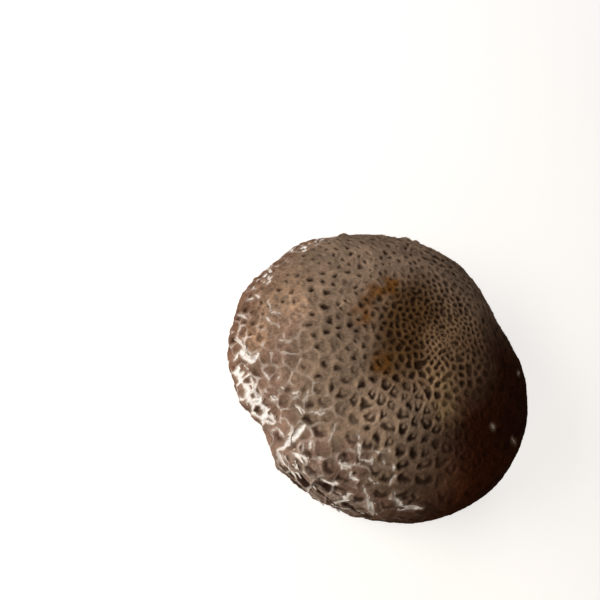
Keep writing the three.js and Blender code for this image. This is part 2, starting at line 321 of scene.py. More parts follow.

# %% [markdown]
# Regions of the skin are listed, each a soft round patch with a direction, a place down the cap and a size in
# mm. They say where the scales are loose or smooth, where the white flesh shows as a lattice, where only
# small flecks of it do, and where the skin is stained. Painting a mask by hand would do the same, but places
# in a list stay easy to read and to move.

# %% Regions of the skin
# each patch: direction, place, size in mm
LATTICE = [(248, 0.97, 3.5), (255, 0.97, 4.5), (262, 0.96, 4.5), (268, 0.97, 3.5)]
LOOSE_SCALES = [
    (262, 0.86, 6), (270, 0.9, 8), (278, 0.94, 8), (285, 0.78, 7), (292, 0.88, 9), (300, 0.66, 8),
    (303, 0.78, 9), (312, 0.86, 9), (324, 0.84, 8), (334, 0.83, 5),
]
FLECKS = [(184, 0.87, 7), (193, 0.9, 8), (204, 0.95, 8), (213, 0.92, 6)]
OCHRE_STAINS = [(226, 0.33, 4.6), (213, 0.33, 3.8), (204, 0.32, 3.8), (195, 0.30, 4.2), (262, 0.29, 4.2)]
SMOOTH_SCALES = [(244, 0.72, 8), (254, 0.8, 8), (235, 0.68, 6)]
ROSY_PATCHES = [(226, 0.62, 6), (218, 0.72, 8), (228, 0.78, 8), (238, 0.8, 6)]


def patches(places):
    """1 in the middle of each listed patch, falling softly to 0 round it, with ragged edges."""
    result = np.zeros(len(skin_base))
    ragged = skin_base + 1.8 * noise_vectors(skin_base, 3.5, 13)
    for degrees, place, size in places:
        apart = np.linalg.norm(ragged - spot(degrees, place), axis=1)
        result = np.maximum(result, np.exp(-((apart / size) ** 2)))
    return result


net_reach = reach * blend(1, 0.68, facing_side(185, 0.0, 0.8)) + 4 * noise_at(skin_base, 12, 15)
in_net = 1 - smoothstep(13, 27, net_reach)
lattice = patches(LATTICE)
loose = patches(LOOSE_SCALES)
flecked = patches(FLECKS)
margin = smoothstep(0.8, 0.92, skin_along) * facing_side(262, -0.1, 0.6)
in_scales = np.max([margin, lattice, smoothstep(0.3, 0.7, loose)], axis=0)
print("shares of net and scales:", round(float(in_net.mean()), 2), round(float(in_scales.mean()), 2))

# %% [markdown]
# Three looks of the cell, one into the next down the cap. In the net each cell is a small bowl
# between pale ridges. In the middle it is a pit that lies towards the outer tip of its scale, often
# with a bump in it, so that it looks like a hoof print: wide on the pitted side, slim on another.
# Near the margin the cells are large scales, dark under the tip, partly with painted shade, with white torn
# ridges between, partly with a painted highlight on their rims.

# %% Hollows and scales
SLIM_SIDE, PITTED_SIDE, WEAK_SIDE = 215, 290, 30
RIDGE_WIDTH = 0.5
SLIM_TURN = 0.6

edge_share = edge / own_pitch
frayed = 0.05 * noise_at(skin_base, 1.1, 16)
slim = facing_side(SLIM_SIDE, 0.3, 0.9)
pitted = facing_side(PITTED_SIDE, -0.1, 0.7) * (1 - smoothstep(0.45, 0.72, skin_along))
weak_side = facing_side(WEAK_SIDE, 0.3, 0.9)
merged = smoothstep(0.9, 0.94, pair_random) * 0.2
bowl = smoothstep(0.07, 0.28, edge_share + merged + frayed) * blend(0.68, 1, cell_random)
turned_by = blend(0.4, 0.5, slim) * (2 * cell_random_2 - 1) + SLIM_TURN * slim
to_tip = u * np.cos(turned_by) + v * np.sin(turned_by)
beside_tip = v * np.cos(turned_by) - u * np.sin(turned_by)
pit_from = blend(0.0, 0.05, slim) + blend(0.08, -0.06, cell_random) + 0.05 * pitted
tip_from = blend(blend(0.0, -0.16, slim), -0.2, pitted)
pit = smoothstep(pit_from, pit_from + 0.2, edge_share + frayed)
pit *= smoothstep(tip_from - 0.18, tip_from + blend(0.2, 0.3, slim), to_tip)
pit *= 1 - slim * smoothstep(0.1, 0.28, np.abs(beside_tip))
bump_size = blend(0.12, 0.24, np.modf(5 * cell_random_3)[0])
bump = np.exp(-(((to_tip + 0.06) / bump_size) ** 2) - (beside_tip / bump_size) ** 2)
pit *= np.clip(1 - 1.2 * smoothstep(0.3, 0.6, cell_random_3) * bump, 0, 1)
strength = blend(0.45, 1, smoothstep(0.0, 0.4, np.modf(7 * cell_random_3)[0]))
strength = np.maximum(strength, 0.85 * pitted)
strength *= blend(1, 0.5, weak_side) * (1 - 0.85 * smoothstep(1.0, 1.25, skin_along))
pit *= blend(strength, 0.9 * strength**2, in_scales)
pit *= 1 - 0.65 * patches(SMOOTH_SCALES)
hollow = blend(pit, bowl, in_net)
lobe = np.exp(-((to_tip / 0.24) ** 2) - (beside_tip / 0.28) ** 2) * (1 - in_net)
round_way = smoothstep(0.0, 0.6, np.abs(tipward))
ridge_share = blend(blend(0.4, 0.35, slim) * round_way, 1, np.maximum(in_net, pitted))
ridge_share *= blend(1, 0.4, weak_side)
ridge = np.exp(-((np.maximum(edge, 0) / (RIDGE_WIDTH * blend(1, 1.5, pitted))) ** 2)) * ridge_share
shingle = smoothstep(-0.25, 0.3, u) * smoothstep(0.0, 0.12, edge_share + 0.04)
outlined = np.maximum(in_scales, 0.45 * facing_side(252, 0.8, 0.98) * smoothstep(0.5, 0.68, skin_along))
white_share = outlined * smoothstep(-0.45, 0.25, noise_at(skin_base, 2.6, 21) + 0.3 * loose)
white_share *= smoothstep(0.0, 0.8, pair_random) * (1 - 0.7 * facing_side(335, 0.8, 0.97)) * (1 - 0.6 * loose)
white_share *= 1 - 0.8 * facing_side(215, 0.93, 0.98)
print("share of the skin that is hollow:", round(float(hollow.mean()), 2))

# %% [markdown]
# White flesh shows where the skin has torn. Single tears are strokes from one place to another, each with its
# width, and a few holes are dark spots. They were set one by one, because tears follow accidents and no rule.

# %% Places of the tears
TEARS = [
    # direction and place of both ends, width in mm
    (226, 0.985, 230, 0.895, 0.8), (232, 0.935, 235, 0.965, 0.7), (235, 0.967, 240, 0.905, 1.4),
    (240, 0.907, 245, 0.865, 1.8), (243, 0.985, 241, 0.935, 1.2), (241, 0.925, 246, 0.872, 3.0),
    (246, 0.875, 244, 0.82, 2.0), (249, 0.995, 248, 0.945, 2.3), (251, 0.91, 259, 0.93, 1.5),
    (253, 0.90, 253, 0.965, 1.0), (256, 0.92, 256, 0.975, 0.9), (257, 0.91, 261, 0.925, 2.0),
    (261, 0.925, 264, 0.955, 2.0), (258, 0.99, 259, 0.925, 1.5), (266, 0.915, 270, 0.945, 1.4),
    (267, 0.98, 270, 0.95, 1.5), (272, 0.938, 276, 0.915, 0.9), (280, 0.99, 280, 0.917, 1.3),
    (280, 0.925, 276, 0.768, 2.7), (280, 0.99, 286, 0.985, 1.5), (284, 0.895, 288, 0.853, 2.4),
    (288, 0.853, 290, 0.867, 2.0), (283, 0.777, 285, 0.805, 1.2), (282, 0.82, 285, 0.85, 0.5),
    (299, 0.88, 302, 0.865, 2.4), (302, 0.865, 304, 0.83, 1.8), (261, 0.857, 262, 0.82, 1.4),
    (251, 0.815, 254, 0.81, 0.8), (257, 0.855, 258, 0.85, 1.4), (260, 0.835, 262, 0.83, 1.4),
    (254, 0.747, 255, 0.765, 0.7), (258, 0.767, 259, 0.757, 0.9), (262, 0.727, 262, 0.70, 1.4),
    (267, 0.755, 271, 0.733, 1.1), (272, 0.693, 275, 0.66, 0.7), (275, 0.66, 275, 0.635, 0.6),
    (263, 0.65, 267, 0.69, 0.5), (269, 0.88, 270, 0.845, 0.6), (270, 0.85, 276, 0.84, 0.7),
    (287, 0.695, 285, 0.66, 0.6), (285, 0.66, 282, 0.615, 0.4), (296, 0.71, 297, 0.727, 1.2),
    (297, 0.727, 301, 0.70, 1.2), (303, 0.72, 305, 0.75, 1.3), (305, 0.75, 308, 0.737, 1.5),
    (292, 0.555, 294, 0.57, 0.9), (296, 0.585, 299, 0.61, 2.0), (299, 0.61, 301, 0.635, 0.9),
    (303, 0.553, 305, 0.562, 0.8), (305, 0.562, 308, 0.536, 0.7), (308, 0.516, 310, 0.52, 0.6),
    (302, 0.638, 306, 0.615, 0.9), (305, 0.593, 307, 0.62, 1.2), (302, 0.67, 303, 0.66, 1.3),
    (311, 0.575, 312, 0.597, 1.1), (311, 0.70, 313, 0.705, 1.5), (315, 0.70, 316, 0.70, 1.3),
    (316, 0.573, 318, 0.60, 1.2), (320, 0.625, 321, 0.685, 0.8), (312, 0.755, 318, 0.82, 0.9),
    (318, 0.82, 327, 0.94, 2.4), (311, 0.845, 312, 0.98, 2.0), (325, 0.715, 327, 0.76, 0.8),
    (327, 0.76, 334, 0.81, 1.6), (334, 0.81, 342, 0.80, 2.2), (220, 0.90, 222, 0.855, 1.0),
    (221, 0.94, 222, 0.90, 0.9), (224, 0.79, 229, 0.755, 0.6), (229, 0.75, 230, 0.70, 0.5),
    (231, 0.775, 233, 0.745, 0.9), (241, 0.69, 241, 0.67, 0.5), (15, 0.35, 16, 0.37, 0.8),
    (26, 0.50, 28, 0.57, 0.8), (58, 0.42, 60, 0.45, 1.0), (193, 0.91, 195, 0.94, 1.0),
    (190, 0.79, 193, 0.80, 0.8), (212, 0.85, 214, 0.87, 0.9),
]
HOLES = [
    # direction, place, half width in mm
    (246, 0.95, 1.1), (240, 0.885, 0.8), (254, 0.935, 0.9), (262, 0.965, 0.7), (290, 0.79, 1.2),
    (302, 0.83, 1.1), (296, 0.68, 1.4), (305, 0.715, 1.0), (332, 0.75, 1.5), (336, 0.77, 1.2),
    (304, 0.54, 1.3), (310, 0.87, 1.2),
]
print("tears:", len(TEARS), "holes:", len(HOLES))

# %% [markdown]
# Each point of the skin now gets one measure, its distance in mm to the side of the nearest tear,
# negative in the tear. In the lattice and among the loose scales the gaps between cells are torn too,
# and at the far left small flecks. All is drawn on shaken points, so that the sides are ragged.

# %% Distance to the tears
LATTICE_GAP, LOOSE_GAP = 0.95, 0.25
FLECK_LEVEL, FLECK_SLOPE = 0.24, 3
FAR_FROM_TEARS = 3.0


def beside_tear(points, start, end, width):
    """Distance in mm from each point to the side of a tear from start to end, negative in it."""
    run = end - start
    share = np.clip((points - start) @ run / (run @ run), 0, 1)
    distance = np.linalg.norm(points - (start + share[:, None] * run), axis=1)
    widest = min(0.5 * width, 0.22 * np.linalg.norm(run) + 0.12)
    half = widest * (0.3 + 0.7 * np.sin(np.pi * blend(0.1, 0.95, share)))
    return distance - half


ragged = skin_base + 0.4 * noise_vectors(skin_base, 2.0, 3) + 0.25 * noise_vectors(skin_base, 0.9, 17)
tear = np.full(len(skin_base), FAR_FROM_TEARS)
for from_degrees, from_place, to_degrees, to_place, width in TEARS:
    start, end = spot(from_degrees, from_place), spot(to_degrees, to_place)
    tear = np.minimum(tear, beside_tear(ragged, start, end, width))

gap_noise = noise_at(skin_base, 4.0, 4)
gap_width = LATTICE_GAP * smoothstep(0.1, 0.6, lattice) * blend(0.7, 1.25, pair_random)
loose_gap = LOOSE_GAP * smoothstep(0.2, 0.7, loose) * smoothstep(0.5, 0.62, pair_random)
gap_width = np.maximum(gap_width, loose_gap * round_way)
gap_width *= smoothstep(-0.7, -0.1, gap_noise)
tear = np.minimum(tear, edge - gap_width + FAR_FROM_TEARS * (1 - smoothstep(0.05, 0.3, gap_width)))
fleck_noise = noise_at(skin_base, 1.5, 18) + 0.6 * noise_at(skin_base, 4.0, 19)
fleck_tear = FLECK_SLOPE * (FLECK_LEVEL - flecked * fleck_noise)
tear = np.minimum(tear, blend(FAR_FROM_TEARS, fleck_tear, smoothstep(0.1, 0.5, flecked)))
torn = 1 - smoothstep(-0.2, 0.35, tear)
# each hole is a dip that joins the hollows, so its dark is painted shade
for degrees, place, half_width in HOLES:
    depth = np.exp(-((np.linalg.norm(ragged - spot(degrees, place), axis=1) / half_width) ** 2))
    hollow = np.maximum(hollow, depth)
    tear = np.maximum(tear, blend(-3, 1, smoothstep(0.3, 0.6, depth)))
print("share of the skin that is torn:", round(float(torn.mean()), 3))

# %% [markdown]
# The relief is one height for each point, pushed out along the smooth skin's normal. Hollows go in,
# scales rise to their tips, the skin curls up beside a tear and crinkles in the rosy patches, and
# broad noises keep the dome from looking turned on a lathe. A torn band runs along the margin at the
# lower left, where layers of fibres lie open, and small lumps stand on the far side. Bump in a
# material would not change the outline or cast a shadow, so it is left for the finest grain.

# %% Relief of the skin
BOWL_DEPTH, PIT_DEPTH, TEAR_DEPTH = 0.5, 1.1, 0.4
RIDGE_LIFT, SHINGLE_LIFT, LOBE_LIFT, CURL_LIFT = 0.24, 0.5, 0.32, 0.5
BAND_START, BAND_END = 283, 327
# each lump: direction, place, size and height in mm
LUMPS = [(174, 0.87, 2.0, 1.2), (150, 0.75, 2.2, 1.1), (146, 0.72, 1.2, 0.8), (160, 0.8, 1.5, 0.4)]

broad = noise_at(skin_base, 26, 5)
lumpy = noise_at(skin_base, 7, 6)
grain_noise = noise_at(skin_base, 1.2, 7)
curl = 4 * torn * (1 - torn)
low = smoothstep(1.25, 1.9, skin_along)
bowl_depth = BOWL_DEPTH * smoothstep(0.8, 2.6, own_pitch)
height = -hollow * blend(PIT_DEPTH * smoothstep(1.5, 4.5, own_pitch), bowl_depth, in_net)
height += SHINGLE_LIFT * shingle * blend(0.4 * (1 - in_net), 1, in_scales)
height += LOBE_LIFT * lobe * (1 - 0.7 * weak_side)
height += RIDGE_LIFT * np.maximum(ridge, white_share * np.exp(-((edge / RIDGE_WIDTH) ** 2)))
height += CURL_LIFT * curl * blend(0.3, 1, cell_random)
height -= TEAR_DEPTH * torn * (1 - 0.6 * grain_noise)
height += 0.8 * broad + 0.22 * lumpy + 0.1 * grain_noise
crinkle = 1 - 2 * np.abs(noise_at(skin_base, 2.2, 23) + 0.4 * noise_at(skin_base, 0.9, 24))
rosy = patches(ROSY_PATCHES)
height += 0.3 * rosy * crinkle

in_band = smoothstep(BAND_START - 3, BAND_START + 3, direction)
in_band *= 1 - smoothstep(BAND_END - 8, BAND_END, direction)
in_band *= smoothstep(0.84, 0.93, skin_along + 0.04 * gap_noise + 0.04 * bell(skin_angle, 297, 12))
layer_place = skin_base * np.array([0.11, 0.11, 0.6])
layers = noise_at(layer_place, 1.0, 8) + 0.5 * noise_at(layer_place * 2.3, 1.0, 9)
height += in_band * (1.3 * layers - 0.35)
height = blend(height, 0.3 * height, low)
height += 0.5 * in_scales * noise_at(skin_base, 3.2, 20) * smoothstep(0.9, 1.1, skin_along)
for degrees, place, size, rise in LUMPS:
    apart = np.linalg.norm(skin_base - spot(degrees, place), axis=1)
    height += rise * np.exp(-((apart / size) ** 2))
band_gap = in_band * smoothstep(0.02, 0.25, -layers)
strands = noise_at(skin_base * np.array([0.35, 0.35, 2.2]), 1.0, 26)
torn_layers = in_band * smoothstep(-0.25, 0.25, layers) * (1 - band_gap) * smoothstep(-0.6, 0.4, strands)
height += 0.3 * in_band * strands
# the gaps between the torn layers join the hollows, and so are darkened with painted shade
hollow = np.maximum(hollow * (1 - torn), band_gap)
skin = skin_base + height[:, None] * skin_up
print("relief, mm:", round(float(height.min()), 2), "to", round(float(height.max()), 2))

# %% [markdown]
# Under the margin the skin rolls in to a pale lip, the remains of the veil that once closed the
# cap. Behind the lip a wall goes up to the flesh over the gills. The lip has fine radial creases, and
# cracks run through it. A crack could be cut with a Boolean, but lifting the points in it leaves the
# mesh whole.

# %% Cracks in the lip
# inset from the outline and height over the margin, in mm
LIP_PROFILE = [(4.5, 0.0), (6.0, 0.15), (7.6, 0.75), (9.0, 1.9), (9.9, 3.4), (10.0, 5.0), (9.7, 6.4)]
WALL_INSET, WALL_LEVELS = 9.7, (9.5, 13.0, CEILING_HEIGHT)
CEILING_RADIUS = 14.0
LIP_ROWS = 13
# each crack: direction, width in mm
CRACKS = [(18, 1.6), (71, 1.2), (128, 2.6), (171, 1.3), (214, 1.8), (262, 3.0), (303, 1.5), (338, 2.2)]
CRACK_DEPTH = 3.2

columns = 6 * SKIN_RINGS
column_angle = skin_angle[-columns:]


def crack_mask(angle, widen=1.0):
    """1 in the middle of a crack through the margin and 0 beside it."""
    mask = np.zeros_like(angle)
    for degrees, width in CRACKS:
        wander = 0.35 * np.sin(9 * angle + degrees)
        offset = np.abs(np.radians(turned(angle, degrees)) * rim_radius(angle) + wander)
        mask = np.maximum(mask, 1 - smoothstep(0.25 * width * widen, 0.6 * width * widen, offset))
    return mask


cracked = crack_mask(column_angle)
print("share of the lip that is cracked:", round(float(cracked.mean()), 2))

# %% [markdown]
# The lip, the wall and the underside of the flesh are rows of points that carry on from the skin's
# last ring, so that cap and lip are one closed body with no seam.

# %% Rows under the skin


def profile_row(share):
    """Inset from the outline and height over the margin, at a share of the lip's profile."""
    place = np.linspace(0, 1, len(LIP_PROFILE))
    inset, level = np.array(LIP_PROFILE).T
    return np.interp(share, place, inset), np.interp(share, place, level)


rim = rim_radius(column_angle) + rim_bulge(column_angle)
circle = polar(rim, column_angle, 0)
creases = noise_at(circle, 1.5, 10) + 0.6 * noise_at(circle, 4.0, 11)
under_rows = []
under_lip = []
for number in range(1, LIP_ROWS + 1):
    share = number / LIP_ROWS
    inset, level = profile_row(share)
    swell = 0.22 * creases * math.sin(math.pi * min(1.2 * share, 1)) + 0.35 * noise_at(circle, 11, 12) * share
    lift = CRACK_DEPTH * cracked * (1 - 0.6 * share)
    radius = rim - inset + swell - 0.5 * cracked * share
    under_rows.append(polar(radius, column_angle, edge_height(column_angle) + level + lift))
    paler = smoothstep(-0.25, 0.4, share + 0.14 * creases)
    under_lip.append(paler * (1 - 0.55 * smoothstep(0.75, 1.0, share)))
for level in WALL_LEVELS:
    under_rows.append(polar(rim - WALL_INSET, column_angle, level))
under_rows.append(polar(CEILING_RADIUS, column_angle, CEILING_HEIGHT))
under_lip += [np.zeros(columns)] * (len(under_rows) - LIP_ROWS)
ceiling_middle = np.array([[0, 0, CEILING_HEIGHT]])
print("rows under the skin:", len(under_rows))

# %% [markdown]
# Faces join the rows in pairs of triangles, and a fan closes the last row. The stem is made in the
# same way, so one function gives the faces of both.

# %% Faces of the cap


def row_faces(first, second, count):
    """Two triangles for each step round two rows of the same count."""
    i = np.arange(count)
    j = (i + 1) % count
    halves = [first + i, second + i, first + j], [first + j, second + i, second + j]
    return np.concatenate([np.stack(half, 1) for half in halves])


def fan_faces(first, middle, count):
    """Triangles from a row to one point in its middle."""
    i = np.arange(count)
    return np.stack([first + i, np.full(count, middle), first + (i + 1) % count], 1)


def closed_faces(rings, rows):
    """Faces of a disc, of the rows that carry on from its last ring, and of a fan that closes them."""
    count = 6 * rings
    disc_count = 1 + 3 * rings * (rings + 1)
    starts = [disc_count - count] + [disc_count + number * count for number in range(rows)]
    walls = [row_faces(first, second, count) for first, second in zip(starts, starts[1:])]
    fan = fan_faces(starts[-1], disc_count + rows * count, count)
    return np.concatenate([disc_faces(rings)] + walls + [fan])


skin_crack = crack_mask(skin_angle, 0.8) * smoothstep(1.35, 2.0, skin_along)
skin = skin - (1.6 * skin_crack)[:, None] * skin_up * np.array([1, 1, 0.2])
cap_points = np.concatenate([skin] + under_rows + [ceiling_middle])
cap_faces = closed_faces(SKIN_RINGS, len(under_rows))
print("cap:", len(cap_points), "points,", len(cap_faces), "triangles")

# %% [markdown]
# Colours are picked as hex values, as on a screen, and one function turns them to the linear
# numbers that the shaders work with.

# %% Colour helper


def linear(hex_colour):
    """An sRGB hex colour as linear RGBA."""
    channels = [int(hex_colour[i : i + 2], 16) / 255 for i in (1, 3, 5)]
    return [c / 12.92 if c <= 0.04045 else ((c + 0.055) / 1.055) ** 2.4 for c in channels] + [1.0]


print("middle grey on the screen is", round(linear("#808080")[0], 3), "in light")

# %% [markdown]
# What the finish needs to know is stored on the points as attributes, because it follows the cells and not
# space. One is a colour, the skin's tone: taupe, pinker among the scales, olive at the top, dark brown on the
# right side with painted shade over it, with rosy, ochre and pale olive stains, and a list of broad patches
# made lighter or darker, partly in tone and partly as painted light and shade. The others are masks. An image
# could hold all this, but it would need an unwrapped cap and many pixels.

# %% Tone and masks of the cap
TAUPE, PINKISH, OLIVE, BROWN_RING, DARK_BROWN_AND_PAINTED_SHADE = "#877463", "#8e7264", "#82684e", "#4f381f", "#381908"
RUDDY, ROSY, OCHRE, PALE_OLIVE = "#74533e", "#b8967a", "#6a4104", "#9a8360"
# each patch: direction, place, size in mm
PALE_PATCHES = [(333, 0.15, 5), (333, 0.24, 5)]
# broad patches made lighter or darker: partly the skin's tone, partly painted shade and painted light where
# the lamps give too much or too little
TONE_AND_PAINTED_LIGHT_PATCHES = [
    # direction, place, size in mm, how much lighter or darker
    (329, 0.40, 12, 0.68), (237, 0.39, 8, 0.72), (262, 0.40, 8, 0.72), (272, 0.74, 8, 0.85),
    (244, 0.68, 9, 0.80), (302, 0.74, 11, 0.62), (353, 0.60, 9, 1.9), (20, 0.62, 9, 1.25),
    (226, 0.93, 6, 0.8), (209, 0.77, 7, 0.85), (195, 0.53, 9, 1.18),
]

ring_round_top = smoothstep(3, 14, reach) * (1 - smoothstep(22, 36, reach))
stained = smoothstep(0.0, 0.9, patches(OCHRE_STAINS)) * smoothstep(-0.8, 0.1, gap_noise)
tone = np.tile(linear(TAUPE)[:3], (len(skin_base), 1))
for hex_colour, share in (
    (PINKISH, 0.8 * np.maximum(in_scales, patches(SMOOTH_SCALES))),
    (RUDDY, 0.6 * facing_side(212, 0.6, 0.97) * smoothstep(0.7, 0.92, skin_along)),
    (OLIVE, 0.85 * (1 - smoothstep(8, 30, reach))),
    (BROWN_RING, 0.95 * ring_round_top * facing_side(222, 0.0, 0.85)),
    # the right side: dark brown skin, darkened further with painted shade on the side away from the lamp
    (DARK_BROWN_AND_PAINTED_SHADE, facing_side(30, 0.08, 0.9) * smoothstep(2, 30, reach) ** 0.8),
    (ROSY, 0.85 * rosy * smoothstep(0.1, 0.9, crinkle)),
    (PALE_OLIVE, 0.6 * patches(PALE_PATCHES)),
    (OCHRE, 0.82 * stained),
):
    tone = blend(tone, np.array(linear(hex_colour)[:3]), share[:, None])
# these patches paint light and shade into the tone as well as colour
for degrees, place, size, factor in TONE_AND_PAINTED_LIGHT_PATCHES:
    tone *= 1 + (factor - 1) * patches([(degrees, place, size)])[:, None]
tone *= (0.94 + 0.12 * cell_random_2 * (1 - in_net) + 0.06 * in_net)[:, None]
tone *= (1 + 0.16 * lumpy + 0.16 * noise_at(skin_base, 13, 22) + 0.1 * grain_noise)[:, None]
lip_start = 0.35 * smoothstep(1.82, 2.0, skin_along + 0.06 * noise_at(skin_base, 3.0, 14))
none = [np.zeros(columns)] * len(under_rows)


def for_whole_cap(on_skin, on_rows=none):
    """Values for the skin, then for the rows under it, then for the middle of the ceiling."""
    return np.concatenate([on_skin] + list(on_rows) + [[0.0]])


plain_rows = [np.full(columns, FAR_FROM_TEARS)] * len(under_rows)
cap_attributes = {
    "hollow": for_whole_cap(hollow),
    # the ridge mask takes the tips of the scales too, which the finish lightens as a painted highlight
    "ridge": for_whole_cap(np.maximum(ridge, 0.35 * lobe * (1 - in_scales))),
    "tear": for_whole_cap(tear, plain_rows),
    "edge": for_whole_cap(np.maximum(edge, 0), plain_rows),
    "white_share": for_whole_cap(white_share),
    "layered": for_whole_cap(torn_layers),
    "crack": for_whole_cap(skin_crack, [cracked] * LIP_ROWS + none[LIP_ROWS:]),
    "lip": for_whole_cap(lip_start, under_lip),
}
grain = np.stack([np.cos(skin_angle) * 60, np.sin(skin_angle) * 60, reach * 0.12], axis=1)
below = len(cap_points) - len(skin)
below_angle = np.append(np.tile(column_angle, len(under_rows)), 0)
under_grain = polar(60.0, below_angle, 9.0)
cap_vectors = {
    "grain": np.concatenate([grain, under_grain]),
    "tone": np.concatenate([tone, np.tile(linear(PINKISH)[:3], (below, 1))]),
}

print("stored on the points:", sorted(cap_attributes) + sorted(cap_vectors))

# %% [markdown]
# One function puts an object in the scene, and one makes every mesh: points in mm, faces, and the
# attributes. Smooth shading is on, because at half a millimetre the triangles are finer than anything
# on the skin.

# %% Mesh maker


def add_object(name, data):
    """A new object in the scene, at the origin and unturned."""
    thing = bpy.data.objects.new(name, data)
    bpy.context.collection.objects.link(thing)
    return thing


def make_piece(name, points, faces, attributes=None, vectors=None):
    mesh = bpy.data.meshes.new(name)
    mesh.from_pydata((np.asarray(points) * MM).tolist(), [], np.asarray(faces).tolist())
    for key, values in (attributes or {}).items():
        mesh.attributes.new(key, "FLOAT", "POINT").data.foreach_set("value", np.asarray(values, np.float32))
    for key, values in (vectors or {}).items():
        flat = np.asarray(values, np.float32).ravel()
        mesh.attributes.new(key, "FLOAT_VECTOR", "POINT").data.foreach_set("vector", flat)
    mesh.shade_smooth()
    return add_object(name, mesh)


cap = make_piece("cap_skin", cap_points, cap_faces, cap_attributes, cap_vectors)
print("cap made:", len(cap.data.polygons), "faces")

# %% [markdown]
# Shapes made by rule and finishes are both trees of nodes. One function adds a node of any kind with
# its settings, and fills its inputs by name or number: a value is typed in, a hex colour is turned to
# linear, and another node or one of its sockets is linked. Every tree below is made with it.

# %% A node with its settings and links


def add_node(tree, kind, inputs=None, **settings):
    """Adds a node. Where an input is given a node, the first of its outputs in use is linked."""
    node = tree.nodes.new(kind)
    for key, value in settings.items():
        setattr(node, key, value)
    for key, value in (inputs or {}).items():
        if isinstance(value, bpy.types.Node):
            value = next(output for output in value.outputs if output.enabled)
        if isinstance(value, bpy.types.NodeSocket):
            tree.links.new(value, node.inputs[key])
        else:
            node.inputs[key].default_value = linear(value) if isinstance(value, str) else value
    return node


# %% [markdown]
# Gills are thin blades that hang from the flesh and run from the stem to the margin. Shorter ones
# start part of the way out, so that the spacing stays even. There are hundreds, so Geometry Nodes make
# them by a rule: one blade is a thin box shaped by a profile, placed on points along the outline of
# the gill disc and stretched to its length. The same tree runs four times, once for each set of gills.
# An Array modifier would make them all of one length.

# %% Inputs of the gill tree
GILL_INSET = 10.2
GILL_SIZES = {
    "Inner radius": 15.2 * MM,
    "Thickness": 0.42 * MM,
    "Root height": (CEILING_HEIGHT + 0.15) * MM,
    "Edge height": 6.5 * MM,
}
GILL_INPUTS = [("Outline", "Geometry"), ("Count", "Int"), ("Turn", "Float"), ("Start share", "Float")]
GILL_INPUTS += [(name, "Float") for name in GILL_SIZES] + [("Seed", "Int"), ("Material", "Material")]

tree = bpy.data.node_groups.new("Gill blades", "GeometryNodeTree")
for name, kind in GILL_INPUTS:
    tree.interface.new_socket(name, in_out="INPUT", socket_type="NodeSocket" + kind)
tree.interface.new_socket("Gills", in_out="OUTPUT", socket_type="NodeSocketGeometry")
given = add_node(tree, "NodeGroupInput").outputs
position = add_node(tree, "GeometryNodeInputPosition")
place = add_node(tree, "ShaderNodeSeparateXYZ", {"Vector": position}).outputs
print("inputs of the tree:", [name for name, kind in GILL_INPUTS])

# %% [markdown]
# One blade is a box 1 long, 1 high and 1 thick. Its lower edge follows a curve, low near the stem and
# rounded off at the margin, and it gets thinner towards that edge.

# %% One blade
BLADE_ENDS = (0.12, 0.62)
BLADE_PROFILE = ((0.05, 0.5), (0.16, 0.84), (0.45, 1.0), (0.82, 0.95), (0.95, 0.82))
THINNER_EDGE = 0.55

box = add_node(tree, "GeometryNodeMeshCube", {"Vertices X": 15, "Vertices Y": 2, "Vertices Z": 3})
length = add_node(tree, "ShaderNodeMath", {0: place["X"], 1: 0.5}, operation="ADD")
depth = add_node(tree, "ShaderNodeMath", {0: 0.5, 1: place["Z"]}, operation="SUBTRACT")
profile = add_node(tree, "ShaderNodeFloatCurve", {"Value": length})
points = profile.mapping.curves[0].points
for end, height in enumerate(BLADE_ENDS):
    points[end].location = (end, height)
for x, height in BLADE_PROFILE:
    points.new(x, height)
profile.mapping.update()
taper = add_node(tree, "ShaderNodeMath", {0: depth, 1: -THINNER_EDGE, 2: 1.0}, operation="MULTIPLY_ADD")
thick = add_node(tree, "ShaderNodeMath", {0: place["Y"], 1: taper}, operation="MULTIPLY")
deep = add_node(tree, "ShaderNodeMath", {0: depth, 1: profile}, operation="MULTIPLY")
hang = add_node(tree, "ShaderNodeMath", {0: deep, 1: -1.0}, operation="MULTIPLY")
shaped = add_node(tree, "ShaderNodeCombineXYZ", {"X": length, "Y": thick, "Z": hang})
blade = add_node(tree, "GeometryNodeSetPosition", {"Geometry": box, "Position": shaped})
print("points of the blade's profile:", len(points))

# %% [markdown]
# The outline becomes a curve, cut into as many even steps as there are blades, and the points are
# turned by a share of a step, so that the sets of gills fall between one another.

# %% Points round the outline
curve = add_node(tree, "GeometryNodeMeshToCurve", {"Mesh": given["Outline"]})
even = add_node(tree, "GeometryNodeResampleCurve", {"Curve": curve, "Count": given["Count"]})
spots = add_node(tree, "GeometryNodeCurveToPoints", {"Curve": even}, mode="EVALUATED")
rounds = add_node(tree, "ShaderNodeMath", {0: given["Turn"], 1: 2 * math.pi}, operation="MULTIPLY")
turn = add_node(tree, "ShaderNodeMath", {0: rounds, 1: given["Count"]}, operation="DIVIDE")
by_turn = {"Vector": position, "Angle": turn}
spun = add_node(tree, "ShaderNodeVectorRotate", by_turn, rotation_type="Z_AXIS")
moved = add_node(tree, "GeometryNodeSetPosition", {"Geometry": spots, "Position": spun})
print("nodes so far:", len(tree.nodes))

# %% [markdown]
# A long blade starts at the inner radius. A shorter one starts part of the way out, a little at
# random, because gills do not end in a neat ring.

# %% Where each blade starts
LATEST = 0.07

